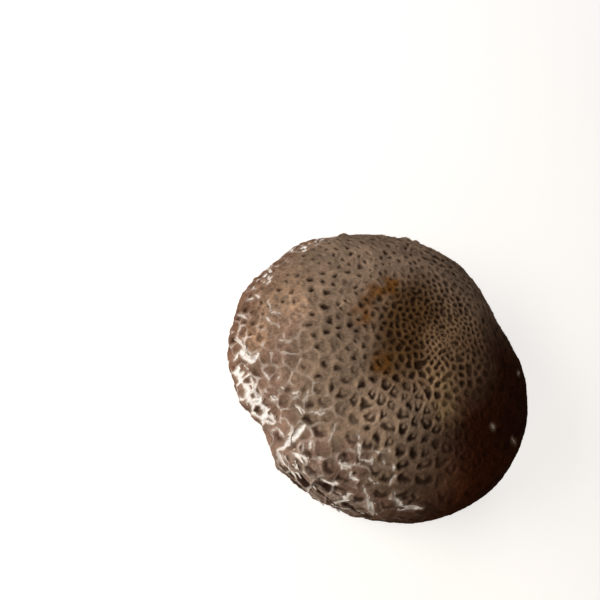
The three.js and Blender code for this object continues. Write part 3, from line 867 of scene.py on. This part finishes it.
radius = add_node(tree, "ShaderNodeVectorMath", {0: position}, operation="LENGTH")
angle = add_node(tree, "ShaderNodeMath", {0: place["Y"], 1: place["X"]}, operation="ARCTAN2")
later = add_node(tree, "FunctionNodeRandomValue", {2: 0.0, 3: LATEST, "Seed": given["Seed"]})
short = add_node(tree, "ShaderNodeMath", {0: given["Start share"], 1: 0.01}, operation="GREATER_THAN")
more = add_node(tree, "ShaderNodeMath", {0: later, 1: short}, operation="MULTIPLY")
share = add_node(tree, "ShaderNodeMath", {0: given["Start share"], 1: more}, operation="ADD")
out = add_node(tree, "ShaderNodeMath", {0: radius, 1: share}, operation="MULTIPLY")
start = add_node(tree, "ShaderNodeMath", {0: given["Inner radius"], 1: out}, operation="MAXIMUM")
cosine = add_node(tree, "ShaderNodeMath", {0: angle}, operation="COSINE")
sine = add_node(tree, "ShaderNodeMath", {0: angle}, operation="SINE")
root_x = add_node(tree, "ShaderNodeMath", {0: start, 1: cosine}, operation="MULTIPLY")
root_y = add_node(tree, "ShaderNodeMath", {0: start, 1: sine}, operation="MULTIPLY")
root = add_node(tree, "ShaderNodeCombineXYZ", {"X": root_x, "Y": root_y, "Z": given["Root height"]})
print("nodes so far:", len(tree.nodes))

# %% [markdown]
# Each blade points at its spot on the outline, is stretched to reach it and hangs from the root height.
# Instances are made real at the end, and wear the material that is handed in.

# %% Blades put in place
ASKEW = 0.006  # radians
DEPTHS = (0.93, 1.03)

jitter = add_node(tree, "FunctionNodeRandomValue", {2: -ASKEW, 3: ASKEW, "Seed": given["Seed"]})
facing = add_node(tree, "ShaderNodeMath", {0: angle, 1: jitter}, operation="ADD")
heading = add_node(tree, "ShaderNodeCombineXYZ", {"Z": facing})
rotation = add_node(tree, "FunctionNodeEulerToRotation", {"Euler": heading})
heights = {0: given["Root height"], 1: given["Edge height"]}
drop = add_node(tree, "ShaderNodeMath", heights, operation="SUBTRACT")
deeper = add_node(tree, "FunctionNodeRandomValue", {2: DEPTHS[0], 3: DEPTHS[1], "Seed": given["Seed"]})
high = add_node(tree, "ShaderNodeMath", {0: drop, 1: deeper}, operation="MULTIPLY")
run = add_node(tree, "ShaderNodeMath", {0: radius, 1: start}, operation="SUBTRACT")
size = add_node(tree, "ShaderNodeCombineXYZ", {"X": run, "Y": given["Thickness"], "Z": high})
on_spots = {"Points": moved, "Instance": blade, "Rotation": rotation, "Scale": size}
placed = add_node(tree, "GeometryNodeInstanceOnPoints", on_spots)
stood = add_node(tree, "GeometryNodeSetPosition", {"Geometry": placed, "Position": root})
real = add_node(tree, "GeometryNodeRealizeInstances", {"Geometry": stood})
painted = add_node(tree, "GeometryNodeSetMaterial", {"Geometry": real, "Material": given["Material"]})
add_node(tree, "NodeGroupOutput", {"Gills": painted})
tree_of_gills = tree
print("nodes in the tree:", len(tree.nodes))

# %% [markdown]
# Every material starts empty and ends with one Principled shader. Two mixtures come back in several of
# them: a tone that runs between two colours with a noise, and a mask whose edge is frayed by noise, as
# every edge on a mushroom is. Inputs 0 to 4 of Map Range are the value, from low, from high, to low and
# to high. Inputs 6 and 7 of Mix are its two colours.

# %% Parts that the materials share


def new_material(name):
    """An empty material, and its tree of nodes."""
    material = bpy.data.materials.new(name)
    material.use_nodes = True
    material.node_tree.nodes.clear()
    return material, material.node_tree


def surface(tree, inputs):
    """Ends a material with one shader that has these inputs, and the output."""
    shader = add_node(tree, "ShaderNodeBsdfPrincipled", inputs)
    add_node(tree, "ShaderNodeOutputMaterial", {"Surface": shader})


def two_tone(tree, fleck, low, high, first, second):
    """Runs from one colour to another as a noise or a mask goes from low to high."""
    share = add_node(tree, "ShaderNodeMapRange", {0: fleck, 1: low, 2: high})
    return add_node(tree, "ShaderNodeMix", {0: share, 6: first, 7: second}, data_type="RGBA")


def frayed_mask(tree, value, fuzz, low, high, fray):
    """Goes from 0 to 1 as a value goes from low to high, with an edge frayed by noise."""
    shifted = add_node(tree, "ShaderNodeMath", {0: fuzz, 1: fray, 2: value}, operation="MULTIPLY_ADD")
    return add_node(tree, "ShaderNodeMapRange", {0: shifted, 1: low + fray / 2, 2: high + fray / 2})


# %% [markdown]
# The cap's skin is a dry mat of fungal fibres, as it grew. It scatters light all ways, so it is rough, with
# hardly any gloss, and its IOR is that of moist tissue. First comes its ground colour: the tone kept on the
# points, made uneven by the fibres, by dust and by mottling, and lighter on the ridges and on the tips of the
# scales, partly their pale net and partly a painted highlight.

# %% Material of the cap skin: ground colour
FIBRE_MM = 0.5  # real bundles of fibres are about 0.1 mm; this is the finest that shows in the picture
DUST_MM, MOTTLE_MM = 0.8, 4.0

skin_material, tree = new_material("mushroom_cap_skin")
stored = {name: add_node(tree, "ShaderNodeAttribute", attribute_name=name) for name in cap_attributes}
mask = {name: node.outputs["Fac"] for name, node in stored.items()}
tone_read = add_node(tree, "ShaderNodeAttribute", attribute_name="tone").outputs["Vector"]
grain_read = add_node(tree, "ShaderNodeAttribute", attribute_name="grain").outputs["Vector"]
in_place = add_node(tree, "ShaderNodeTexCoord").outputs["Object"]
fibres, dust, mottle = (
    add_node(tree, "ShaderNodeTexNoise", {"Vector": at, "Scale": scale, "Detail": detail, "Roughness": rough})
    for at, scale, detail, rough in (
        (grain_read, 1 / FIBRE_MM, 4, 0.55),
        (in_place, 1 / (DUST_MM * MM), 5, 0.7),
        (in_place, 1 / (MOTTLE_MM * MM), 5, 0.55),
    )
)
colour = tone_read
for source, low, high, darker, lighter in (
    (fibres, 0.3, 0.7, 0.88, 1.12),
    (dust, 0.3, 0.7, 0.7, 1.3),
    (mottle, 0.3, 0.7, 0.7, 1.26),
    # ridges and scale tips: pale net, lightened further as a painted highlight
    (mask["ridge"], 0, 1, 0.98, 1.45),
):
    factor = add_node(tree, "ShaderNodeMapRange", {0: source, 1: low, 2: high, 3: darker, 4: lighter})
    colour = add_node(tree, "ShaderNodeVectorMath", {0: colour, "Scale": factor}, operation="SCALE")
print("nodes so far:", len(tree.nodes))

# %% [markdown]
# On the ground colour lie layers, each a mask, its strength and a colour. Two bumps give the felt of
# the fibres and a grit, both too fine to be worth triangles.

# %% Material of the cap skin: layers
flesh = two_tone(tree, dust, 0.3, 0.62, "#cbbfb5", "#fbf7f3")
flesh = two_tone(tree, mask["tear"], 0.0, -0.7, flesh, "#ffffff")
torn_grey = two_tone(tree, dust, 0.3, 0.65, "#6a5c52", "#b8ada2")
lip_tone = two_tone(tree, fibres, 0.35, 0.62, "#8f8476", "#d9d2c6")
for share, most, on_top in (
    # hollows: partly dark skin at the scale tips, partly painted shade in the pits
    (frayed_mask(tree, mask["hollow"], dust, 0.2, 1.0, 0.25), 0.9, "#21120a"),  # hollows
    (frayed_mask(tree, mask["tear"], dust, 1.5, 0.1, 0.8), 0.28, "#bcaa9b"),  # worn skin
    # seams: white flesh at the scale edges, brightened as a painted highlight on their rims
    (frayed_mask(tree, mask["edge"], dust, 0.55, 0.1, 0.35), mask["white_share"], flesh),  # seams
    (frayed_mask(tree, mask["tear"], dust, 0.3, -0.3, 0.6), 1.0, flesh),  # tears
    (mask["layered"], 0.85, torn_grey),  # torn band
    (mask["lip"], 1.0, lip_tone),  # lip
    # cracks: painted shade in the cracks of the lip and margin
    (mask["crack"], 0.85, "#2a1d16"),  # cracks
):
    share = add_node(tree, "ShaderNodeMath", {0: share, 1: most}, operation="MULTIPLY")
    colour = add_node(tree, "ShaderNodeMix", {0: share, 6: colour, 7: on_top}, data_type="RGBA")

roughness = add_node(tree, "ShaderNodeMapRange", {0: fibres, 1: 0.2, 2: 0.8, 3: 0.72, 4: 0.9})
felt = add_node(tree, "ShaderNodeBump", {"Height": fibres, "Strength": 0.6, "Distance": 0.2 * MM})
on_felt = {"Height": dust, "Normal": felt, "Strength": 0.9, "Distance": 0.35 * MM}
grit = add_node(tree, "ShaderNodeBump", on_felt)
matt = {"Roughness": roughness, "IOR": 1.4, "Specular IOR Level": 0.12}
surface(tree, {"Base Color": colour, "Normal": grit, **matt})
cap.data.materials.append(skin_material)
print("nodes in the skin's material:", len(tree.nodes))

# %% [markdown]
# Where the skin is torn, flakes of it stand up, and shreds of the veil hang from the lip. The large ones are
# given one by one.

# %% Places of the flakes and shreds
FLAKES = [
    # direction, place, heading from outward in degrees, length, width and lift in mm
    (280, 0.93, 200, 9.5, 3.0, 1.0), (241, 0.93, 150, 7.5, 2.8, 0.9), (239, 0.91, 120, 5.0, 1.8, 1.0),
    (284, 0.90, 115, 5.5, 2.8, 1.1), (299, 0.885, 125, 5.5, 2.4, 1.0), (301, 0.635, 220, 4.8, 2.0, 1.1),
    (327, 0.95, 222, 7.5, 2.6, 0.8), (321, 0.87, 222, 6.5, 1.6, 0.7), (312, 0.98, 183, 8.0, 2.4, 0.8),
    (259, 0.93, 257, 6.0, 1.6, 0.9), (264, 0.955, 245, 6.5, 2.2, 0.8), (240, 0.905, 312, 5.5, 1.4, 0.7),
    (307, 0.74, 250, 3.6, 1.5, 0.9), (301, 0.70, 283, 4.5, 1.3, 0.8), (341, 0.81, 270, 7.0, 2.2, 0.8),
    (260, 0.86, 160, 3.2, 1.4, 0.8), (270, 0.95, 230, 4.5, 1.6, 0.8), (262, 0.73, 170, 2.2, 1.3, 0.7),
    (306, 0.62, 190, 2.2, 1.3, 0.7), (312, 0.705, 100, 2.4, 1.3, 0.6), (318, 0.60, 200, 2.4, 1.2, 0.7),
    (267, 0.75, 110, 4.0, 1.0, 0.6),
]
VEIL_SHREDS = [
    # direction, heading from inward in degrees, length, width and droop in mm
    (62, 35, 8.0, 3.2, 2.2), (65, -10, 5.5, 2.6, 1.6), (69, 70, 6.5, 2.2, 1.2), (74, 10, 7.0, 4.0, 2.4),
    (77, -60, 5.0, 2.0, 1.0), (151, 60, 4.5, 1.8, 1.0), (236, -50, 5.0, 1.8, 1.2),
]
print("flakes and shreds placed by hand:", len(FLAKES), len(VEIL_SHREDS))

# %% [markdown]
# A flake is a thin body with an upper and a lower side, broad at its root, which is sunk in the skin,
# and curling up to its tip. Flat cards with a see-through picture would be lighter, but they look flat
# from the side.

# %% Shape of a flake
FLAKE_ROWS, FLAKE_COLUMNS = 11, 5
FLAKE_THICKNESS, FLAKE_ROOT = 0.28, 0.45


def flake(base, out, up, heading, length, width, lift, bend):
    """Points of a thin curled flake that stands on the skin, upper side first, then lower side."""
    side = np.cross(up, out)
    turn = math.radians(heading)
    ahead = out * math.cos(turn) + side * math.sin(turn)
    beside = side * math.cos(turn) - out * math.sin(turn)
    s, t = np.meshgrid(np.linspace(0, 1, FLAKE_ROWS), np.linspace(-1, 1, FLAKE_COLUMNS), indexing="ij")
    s, t = s.ravel()[:, None], t.ravel()[:, None]
    notched = 1 + 0.45 * np.sin((11 + 20 * bend) * s + 30 * bend) * np.sign(t)
    half_width = 0.42 * width * (1 - s) ** 0.9 * notched + 0.05
    rise = -FLAKE_ROOT + (lift + FLAKE_ROOT) * s**1.3 + 0.18 * width * t**2 * np.sqrt(s)
    middle = base + s * length * ahead + (t * half_width + bend * length * s**2) * beside + rise * up
    half_thick = FLAKE_THICKNESS / 2 * (1 - 0.75 * t**2) * (1 - 0.6 * s) * up
    return np.concatenate([middle + half_thick, middle - half_thick])


def flake_faces():
    """Quads of one flake: both sides and the rim that joins them."""
    r, c = np.meshgrid(np.arange(FLAKE_ROWS - 1), np.arange(FLAKE_COLUMNS - 1), indexing="ij")
    a = (r * FLAKE_COLUMNS + c).ravel()
    above = np.stack([a, a + FLAKE_COLUMNS, a + FLAKE_COLUMNS + 1, a + 1], 1)
    lower = FLAKE_ROWS * FLAKE_COLUMNS
    last = (FLAKE_ROWS - 1) * FLAKE_COLUMNS
    rim_points = list(range(FLAKE_COLUMNS))
    rim_points += [r * FLAKE_COLUMNS + FLAKE_COLUMNS - 1 for r in range(1, FLAKE_ROWS)]
    rim_points += [last + c for c in range(FLAKE_COLUMNS - 2, -1, -1)]
    rim_points += [r * FLAKE_COLUMNS for r in range(FLAKE_ROWS - 2, 0, -1)]
    i = np.array(rim_points)
    j = np.roll(i, -1)
    return np.concatenate([above, above[:, ::-1] + lower, np.stack([i, j, j + lower, i + lower], 1)])


print("faces of one flake:", len(flake_faces()))

# %% [markdown]
# Small flakes are strewn along the tears near the margin, and a few long fibres lie along the torn
# band. The shreds of the veil are the same shape, hung upside down.

# %% Flakes of torn skin
STREWN_FLAKES, BAND_FIBRES = 30, 12
FIBRE_SPANS = ((3, 5.5), (1.2, 2.2), (0.05, 0.25), (-0.1, 0.1))  # length, width, lift in mm, and bend
VEIL_INSET, VEIL_HEIGHT = 9.4, 5.2

placed = []
for degrees, place, heading, length, width, lift in FLAKES:
    i = int(np.argmin(np.sum((skin_base - spot(degrees, place)) ** 2, axis=1)))
    placed.append((i, heading, length, width, lift, rng.uniform(-0.15, 0.15)))
near_margin = (skin_along > 0.74) & (skin_along < 1.05) & (direction > 238)
beside_tears = np.flatnonzero((tear > -0.3) & (tear < 0.2) & near_margin)
for i in rng.choice(beside_tears, STREWN_FLAKES, replace=False):
    length = rng.uniform(0.8, 1.8)
    lift = length * rng.uniform(0.2, 0.4)
    heading, width = rng.uniform(90, 270), length * rng.uniform(0.45, 0.8)
    placed.append((i, heading, length, width, lift, rng.uniform(-0.3, 0.3)))
in_layers = np.flatnonzero((in_band > 0.5) & (skin_along < 1.15) & (layers > 0.0))
for i in rng.choice(in_layers, BAND_FIBRES, replace=False):
    heading = rng.choice([90, 270]) + rng.uniform(-10, 10)
    placed.append((i, heading, *(rng.uniform(*span) for span in FIBRE_SPANS)))
flake_points = [flake(skin[i], outward[i], skin_up[i], *sizes) for i, *sizes in placed]
down = np.array([0.0, 0.0, -1.0])
for number, (degrees, heading, length, width, droop) in enumerate(VEIL_SHREDS):
    angle = np.radians(degrees)
    inward = -polar(1.0, angle, 0.0)
    root = polar(rim_radius(angle) - VEIL_INSET, angle, VEIL_HEIGHT)
    flake_points.append(flake(root, inward, down, heading, length, width, droop, 0.1 - 0.05 * (number % 4)))
count = len(flake_points[0])
faces = np.concatenate([flake_faces() + number * count for number in range(len(flake_points))])
flakes = make_piece("torn_flakes", np.concatenate(flake_points), faces)
print("flakes:", len(flake_points), "faces:", len(faces))

# %% [markdown]
# The flakes are the same white flesh as the tears, torn across its fibres, so matt and uneven. They
# are thin, so that light goes a little way in and comes out again, which subsurface scattering gives.

# %% Material of the flakes
flake_material, tree = new_material("torn_mushroom_flesh")
in_place = add_node(tree, "ShaderNodeTexCoord").outputs["Object"]
torn_across = {"Vector": in_place, "Scale": 1 / (FIBRE_MM * MM), "Detail": 4, "Roughness": 0.55}
shreds = add_node(tree, "ShaderNodeTexNoise", torn_across)
colour = two_tone(tree, shreds, 0.3, 0.6, "#cbbdb0", "#f8f3ee")
shred_bump = add_node(tree, "ShaderNodeBump", {"Height": shreds, "Strength": 0.6, "Distance": 0.2 * MM})
thin = {"Subsurface Weight": 0.2, "Subsurface Scale": 0.5 * MM, "Subsurface Radius": (1.0, 0.75, 0.5)}
surface(tree, {"Base Color": colour, "Roughness": 0.55, "IOR": 1.4, "Normal": shred_bump, **thin})
flakes.data.materials.append(flake_material)
print("nodes in the flakes' material:", len(tree.nodes))

# %% [markdown]
# Ripe gills are almost black with a red-brown cast, from the spores that dust them. They are soft
# tissue and matt. Broad clouds of noise keep them from being one flat tone.

# %% Material of the gills
GILL_CLOUD_MM = 6.0

gill_material, tree = new_material("ripe_gill_tissue")
in_place = add_node(tree, "ShaderNodeTexCoord").outputs["Object"]
clouds = {"Vector": in_place, "Scale": 1 / (GILL_CLOUD_MM * MM), "Detail": 3, "Roughness": 0.55}
tint = add_node(tree, "ShaderNodeTexNoise", clouds)
colour = two_tone(tree, tint, 0.35, 0.65, "#2a1917", "#3d2420")
surface(tree, {"Base Color": colour, "Roughness": 0.75, "IOR": 1.4})
print("nodes in the gills' material:", len(tree.nodes))

# %% [markdown]
# Now the tree of the gills runs on the outline of the gill disc, once for each set: long gills, middle
# ones halfway between them, and short ones on both sides of those. Each result is kept as a plain
# mesh, and the four are joined to one piece.

# %% Mesh of the gills
OUTLINE_STEPS = 240
GILL_SETS = [
    # name, number, turn in steps, share of the disc where the gill starts
    ("full", 88, 0.0, 0.0),
    ("middle", 88, 0.5, 0.45),
    ("short_left", 88, 0.25, 0.72),
    ("short_right", 88, 0.75, 0.72),
]

outline_angle = np.linspace(0, 2 * np.pi, OUTLINE_STEPS, endpoint=False)
outline_points = polar(rim_radius(outline_angle) - GILL_INSET, outline_angle, 0)
outline_edges = [(i, (i + 1) % OUTLINE_STEPS) for i in range(OUTLINE_STEPS)]
sockets = tree_of_gills.interface.items_tree
socket_of = {item.name: item.identifier for item in sockets if item.in_out == "INPUT"}
gill_pieces = []
for number, (set_name, count, turn, start) in enumerate(GILL_SETS):
    outline_mesh = bpy.data.meshes.new("outline_" + set_name)
    outline_mesh.from_pydata((outline_points * MM).tolist(), outline_edges, [])
    maker = add_object("maker_" + set_name, outline_mesh)
    modifier = maker.modifiers.new("Gill blades", "NODES")
    modifier.node_group = tree_of_gills
    chosen = {"Count": count, "Turn": turn, "Start share": start, "Seed": number + 1}
    for socket, value in {**GILL_SIZES, **chosen, "Material": gill_material}.items():
        modifier[socket_of[socket]] = value
    evaluated = maker.evaluated_get(bpy.context.evaluated_depsgraph_get())
    blades = bpy.data.meshes.new_from_object(evaluated)
    print(set_name, "gills:", len(blades.polygons), "faces")
    bpy.data.objects.remove(maker)
    gill_pieces.append(add_object("gill_set", blades))

for piece in gill_pieces:
    piece.select_set(True)
gills = gill_pieces[0]
bpy.context.view_layer.objects.active = gills
with bpy.context.temp_override(active_object=gills, selected_editable_objects=gill_pieces):
    bpy.ops.object.join()
gills.name = "gill_blades"
print("gills:", len(gills.data.polygons), "faces")

# %% [markdown]
# Between the gills the eye meets the dark tissue that they grow from. It is a thin sheet just under
# the flesh, with a hole for the stem.

# %% Root sheet of the gills
SHEET_TOP, SHEET_BOTTOM = CEILING_HEIGHT - 0.1, CEILING_HEIGHT - 0.6
SHEET_INNER, SHEET_OVERLAP = 14.5, 0.3

sheet_outer = rim_radius(outline_angle) - GILL_INSET + SHEET_OVERLAP
sheet_rows = [
    polar(SHEET_INNER, outline_angle, SHEET_BOTTOM),
    polar(sheet_outer, outline_angle, SHEET_BOTTOM),
    polar(sheet_outer, outline_angle, SHEET_TOP),
    polar(SHEET_INNER, outline_angle, SHEET_TOP),
]
sheet_starts = [number * OUTLINE_STEPS for number in range(len(sheet_rows))]
sheet_turns = zip(sheet_starts[1:] + sheet_starts[:1], sheet_starts)
sheet_faces = np.concatenate([row_faces(after, before, OUTLINE_STEPS) for after, before in sheet_turns])
gill_sheet = make_piece("gill_root_sheet", np.concatenate(sheet_rows), sheet_faces)
gill_sheet.data.shade_flat()
gill_sheet.data.materials.append(gill_material)
print("root sheet:", len(sheet_faces), "triangles")

# %% [markdown]
# The stem is a short, slightly oval column that flares where it joins the flesh. Its side is silky,
# with fine ribs down its length. It was cut through with a knife, so its lower face is flat, with two
# gaping slits and a hairline. The face uses the same even disc as the cap, and the side carries on
# from its last ring. A plain cylinder would have no points in its face to sink the slits with.

# %% Cut face of the stem
STEM_RINGS = 54
# radius and height of the stem's side, in mm
STEM_PROFILE = [(13.2, 0.0), (13.6, 0.5), (13.5, 2.0), (13.3, 5.0)]
STEM_PROFILE += [(13.6, 8.0), (14.4, 11.0), (16.2, 14.3), (17.6, 16.9)]
STEM_ROWS = 46
STEM_OVALITY = 0.035
RIB_RING = 13.0
# each slit: x and y of its middle, length and width in mm, turn in degrees
SLITS = [(4.2, 1.2, 4.8, 1.3, 70), (-4.4, -5.2, 5.8, 1.1, -32)]
SLIT_DEPTH, HAIRLINE_DEPTH = 1.5, 0.12

stem_ring, stem_angle = disc_points(STEM_RINGS)
stem_columns = 6 * STEM_RINGS
around = np.arange(stem_columns) / stem_columns * 2 * np.pi
rib_circle = polar(RIB_RING, around, 0)
ribs = noise_at(rib_circle, 1.1, 20) + 0.8 * noise_at(rib_circle, 4.0, 21)


def stem_stretch(angle):
    return 1 + STEM_OVALITY * np.cos(2 * angle)


face_radius = stem_ring / STEM_RINGS * (STEM_PROFILE[0][0] - 0.4) * stem_stretch(stem_angle)
face = polar(face_radius, stem_angle, 0)
slit = np.zeros(len(face))
for x, y, length, width, degrees in SLITS:
    turn = math.radians(degrees)
    along_slit = (face[:, 0] - x) * math.cos(turn) + (face[:, 1] - y) * math.sin(turn)
    over_slit = -(face[:, 0] - x) * math.sin(turn) + (face[:, 1] - y) * math.cos(turn)
    lens = np.abs(over_slit) - width / 2 * np.clip(1 - np.abs(along_slit) / (length / 2), 0, 1)
    lens += np.abs(along_slit) > length / 2
    slit = np.maximum(slit, 1 - smoothstep(-0.12, 0.16, lens))
hair = 1 - smoothstep(0.05, 0.32, np.abs(face[:, 0] - 0.7 - 0.6 * np.sin(face[:, 1] * 0.35)))
hair *= 1 - smoothstep(7, 11, np.abs(face[:, 1] - 1.0))
face[:, 2] = SLIT_DEPTH * slit + HAIRLINE_DEPTH * hair + 0.1 + 0.05 * noise_at(face, 2.5, 22)
print("share of the face that is slit:", round(float(slit.mean()), 3))

# %% [markdown]
# The side of the stem goes up from the cut in rows, each with the radius of its height and the ribs.

# %% Side of the stem
stem_rows = [face]
radii, levels = np.array(STEM_PROFILE).T
for number in range(1, STEM_ROWS + 1):
    z = np.interp(number / STEM_ROWS, np.linspace(0, 1, len(levels)), levels)
    radius = np.interp(z, levels, radii)
    ribbed = radius + 0.16 * ribs * smoothstep(0.2, 1.5, z) + 0.2 * smoothstep(10, 17, z) * ribs
    stem_rows.append(polar(ribbed * stem_stretch(around), around, max(z, 0.15)))
stem_points = np.concatenate(stem_rows + [np.array([[0, 0, levels[-1]]])])
stem_faces = closed_faces(STEM_RINGS, STEM_ROWS)[:, ::-1]
side_count = len(stem_points) - len(face)
stem_attributes = {
    "slit": np.concatenate([np.maximum(slit, 0.55 * hair), np.zeros(side_count)]),
    "cut": np.concatenate([1 - smoothstep(0.93, 1.0, stem_ring / STEM_RINGS), np.zeros(side_count)]),
}
stem_grain = stem_points * np.array([1, 1, 0.12])
stem = make_piece("stem_flesh", stem_points, stem_faces, stem_attributes, {"grain": stem_grain})
print("stem:", len(stem_faces), "triangles")

# %% [markdown]
# Stem flesh is pale, moist and slightly translucent, so light goes a little way in; a small amount of
# subsurface scattering softens it. The side grew silky, greyer than the cut and streaked along its
# length. The cut was made by a blade, so it is smooth, with cream blotches.

# %% Material of the stem
STREAK_MM, BLOTCH_MM = 0.7, 5.0  # real streaks are finer; these are this wide so that they show

stem_material, tree = new_material("mushroom_stem_flesh")
grain_read = add_node(tree, "ShaderNodeAttribute", attribute_name="grain").outputs["Vector"]
in_place = add_node(tree, "ShaderNodeTexCoord").outputs["Object"]
streaks, blotch = (
    add_node(tree, "ShaderNodeTexNoise", {"Vector": at, "Scale": scale, "Detail": 4, "Roughness": 0.55})
    for at, scale in ((grain_read, 1 / STREAK_MM), (in_place, 1 / (BLOTCH_MM * MM)))
)
colour = two_tone(tree, streaks, 0.3, 0.7, "#77706a", "#a9a198")
cut_colour = two_tone(tree, blotch, 0.35, 0.65, "#b9a983", "#cfc3a6")
# the slits and the hairline of the cut are painted dark, as painted shade in them
for name, on_top in (("cut", cut_colour), ("slit", "#3a2f1e")):
    share = add_node(tree, "ShaderNodeAttribute", attribute_name=name).outputs["Fac"]
    colour = add_node(tree, "ShaderNodeMix", {0: share, 6: colour, 7: on_top}, data_type="RGBA")
silk = add_node(tree, "ShaderNodeBump", {"Height": streaks, "Strength": 0.5, "Distance": 0.15 * MM})
moist = {"Subsurface Weight": 0.15, "Subsurface Scale": 1.5 * MM, "Subsurface Radius": (1.0, 0.7, 0.45)}
surface(tree, {"Base Color": colour, "Roughness": 0.6, "IOR": 1.4, "Normal": silk, **moist})
stem.data.materials.append(stem_material)
print("nodes in the stem's material:", len(tree.nodes))

# %% [markdown]
# Now each piece is told what it stands for. The mushroom is one body, so everything rides on the
# root, and each CAD node is replaced by its dressed piece.

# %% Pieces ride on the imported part
for piece, node, material_slot in (
    (cap, "cap", "cap_skin"),
    (gills, "gills", "gill_tissue"),
    (stem, "stem", "stem_flesh"),
):
    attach(piece, "root")
    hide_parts(node)
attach(flakes, "root")
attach(gill_sheet, "root")
print("pieces on the root:", [piece.name for piece in (cap, gills, stem, flakes, gill_sheet)])

# %% [markdown]
# A plain pale table whose far edge sweeps up into a wall all round, as in a photo studio. The camera
# of the photograph sees only the table; from low down the sweep shows as a faint line. One broad soft
# lamp stands low on the left as in the photograph, with weak ones near it and on the far side, in a
# dim warm surround. The table glows a little itself, to come out white.

# %% Table and light
SWEEP_FROM, SWEEP_RADIUS, WALL_HEIGHT = 1000, 700, 1600
SWEEP_STEPS = 96
LAMP_AIM = Vector((0, 0, 0.02))
LAMPS = [
    # name, direction, height in degrees, distance and side in metres, watts, colour
    ("window", -120, 13, 1.0, 0.8, 12.2, "#fff8f1"),
    ("near_side", -60, 18, 1.0, 0.5, 1.8, "#fff4e6"),
    ("far_side", 145, 22, 1.1, 0.6, 2.2, "#f4f0fa"),
]

sweep_angle = np.arange(SWEEP_STEPS) / SWEEP_STEPS * 2 * np.pi
sweep_rows = [polar(SWEEP_FROM, sweep_angle, 0)]
for turn in np.radians(np.arange(6, 91, 6)):
    out, rise = SWEEP_RADIUS * math.sin(turn), SWEEP_RADIUS * (1 - math.cos(turn))
    sweep_rows.append(polar(SWEEP_FROM + out, sweep_angle, rise))
sweep_rows.append(polar(SWEEP_FROM + SWEEP_RADIUS, sweep_angle, WALL_HEIGHT))
sweep_starts = [number * SWEEP_STEPS for number in range(len(sweep_rows))]
sweep_faces = [fan_faces(0, SWEEP_STEPS * len(sweep_rows), SWEEP_STEPS)[:, ::-1]]
for before, after in zip(sweep_starts, sweep_starts[1:]):
    sweep_faces.append(row_faces(after, before, SWEEP_STEPS))
floor = make_piece("table", np.concatenate(sweep_rows + [np.zeros((1, 3))]), np.concatenate(sweep_faces))
floor.visible_diffuse = False
floor.visible_glossy = False
floor_material, tree = new_material("pale_painted_board")
glow = {"Emission Color": "#ffffff", "Emission Strength": 0.68}
surface(tree, {"Base Color": "#f2f0ec", "Roughness": 0.9, **glow})
floor.data.materials.append(floor_material)

world = bpy.data.worlds.new("soft_surround")
bpy.context.scene.world = world
world.use_nodes = True
background = world.node_tree.nodes["Background"]
background.inputs["Color"].default_value = linear("#f2d9b6")
background.inputs["Strength"].default_value = 0.13

for name, azimuth, elevation, distance, side, watts, hex_colour in LAMPS:
    light = bpy.data.lights.new(name, "AREA")
    light.shape = "SQUARE"
    light.size, light.energy, light.color = side, watts, linear(hex_colour)[:3]
    lamp = add_object(name, light)
    a, e = math.radians(azimuth), math.radians(elevation)
    away = Vector((math.cos(a) * math.cos(e), math.sin(a) * math.cos(e), math.sin(e)))
    lamp.location = away * distance + LAMP_AIM
    lamp.rotation_mode = "QUATERNION"
    lamp.rotation_quaternion = away.to_track_quat("Z", "Y")
print("lamps:", len(LAMPS), "table:", len(floor.data.polygons), "triangles")

# %% [markdown]
# The camera looks down at 57.5 degrees from the side opposite to the top's lean. It is rolled, so
# that the side nearest to it comes out at the lower left, and aimed a little aside, so that the
# mushroom stands right of and below the middle of the picture.

# %% Camera
VIEW_ELEVATION, VIEW_DISTANCE, VIEW_ROLL = 57.5, 0.340, 65.8
LOOKED_AT = Vector((0, 0, 0.018))
PICTURE_SIDE = 600
FOCAL_PIXELS = 870.4
LOOKED_AT_X, LOOKED_AT_Y = 384, 375
SENSOR_WIDTH = 36

e, roll = math.radians(VIEW_ELEVATION), math.radians(VIEW_ROLL)
ahead = Vector((0, math.cos(e), -math.sin(e)))
level_right, level_up = Vector((1, 0, 0)), Vector((0, math.sin(e), math.cos(e)))
picture_right = level_right * math.cos(roll) + level_up * math.sin(roll)
picture_down = level_right * math.sin(roll) - level_up * math.cos(roll)
half = PICTURE_SIDE / 2
aim = Vector(((LOOKED_AT_X - half) / FOCAL_PIXELS, (LOOKED_AT_Y - half) / FOCAL_PIXELS, 1)).normalized()
aside = Vector((0, 0, 1)).rotation_difference(aim).to_matrix()
level = Matrix((picture_right, picture_down, ahead))
right, down, forward = (aside @ level).row
camera_data = bpy.data.cameras.new("camera")
camera_data.sensor_width = SENSOR_WIDTH
camera_data.lens = FOCAL_PIXELS / PICTURE_SIDE * SENSOR_WIDTH
camera = add_object("camera", camera_data)
pose = Matrix((right, -down, -forward)).transposed().to_4x4()
camera.matrix_world = Matrix.Translation(LOOKED_AT - ahead * VIEW_DISTANCE) @ pose
bpy.context.scene.camera = camera
bpy.context.scene.view_settings.view_transform = "Standard"
print("lens, mm:", round(camera_data.lens, 1))
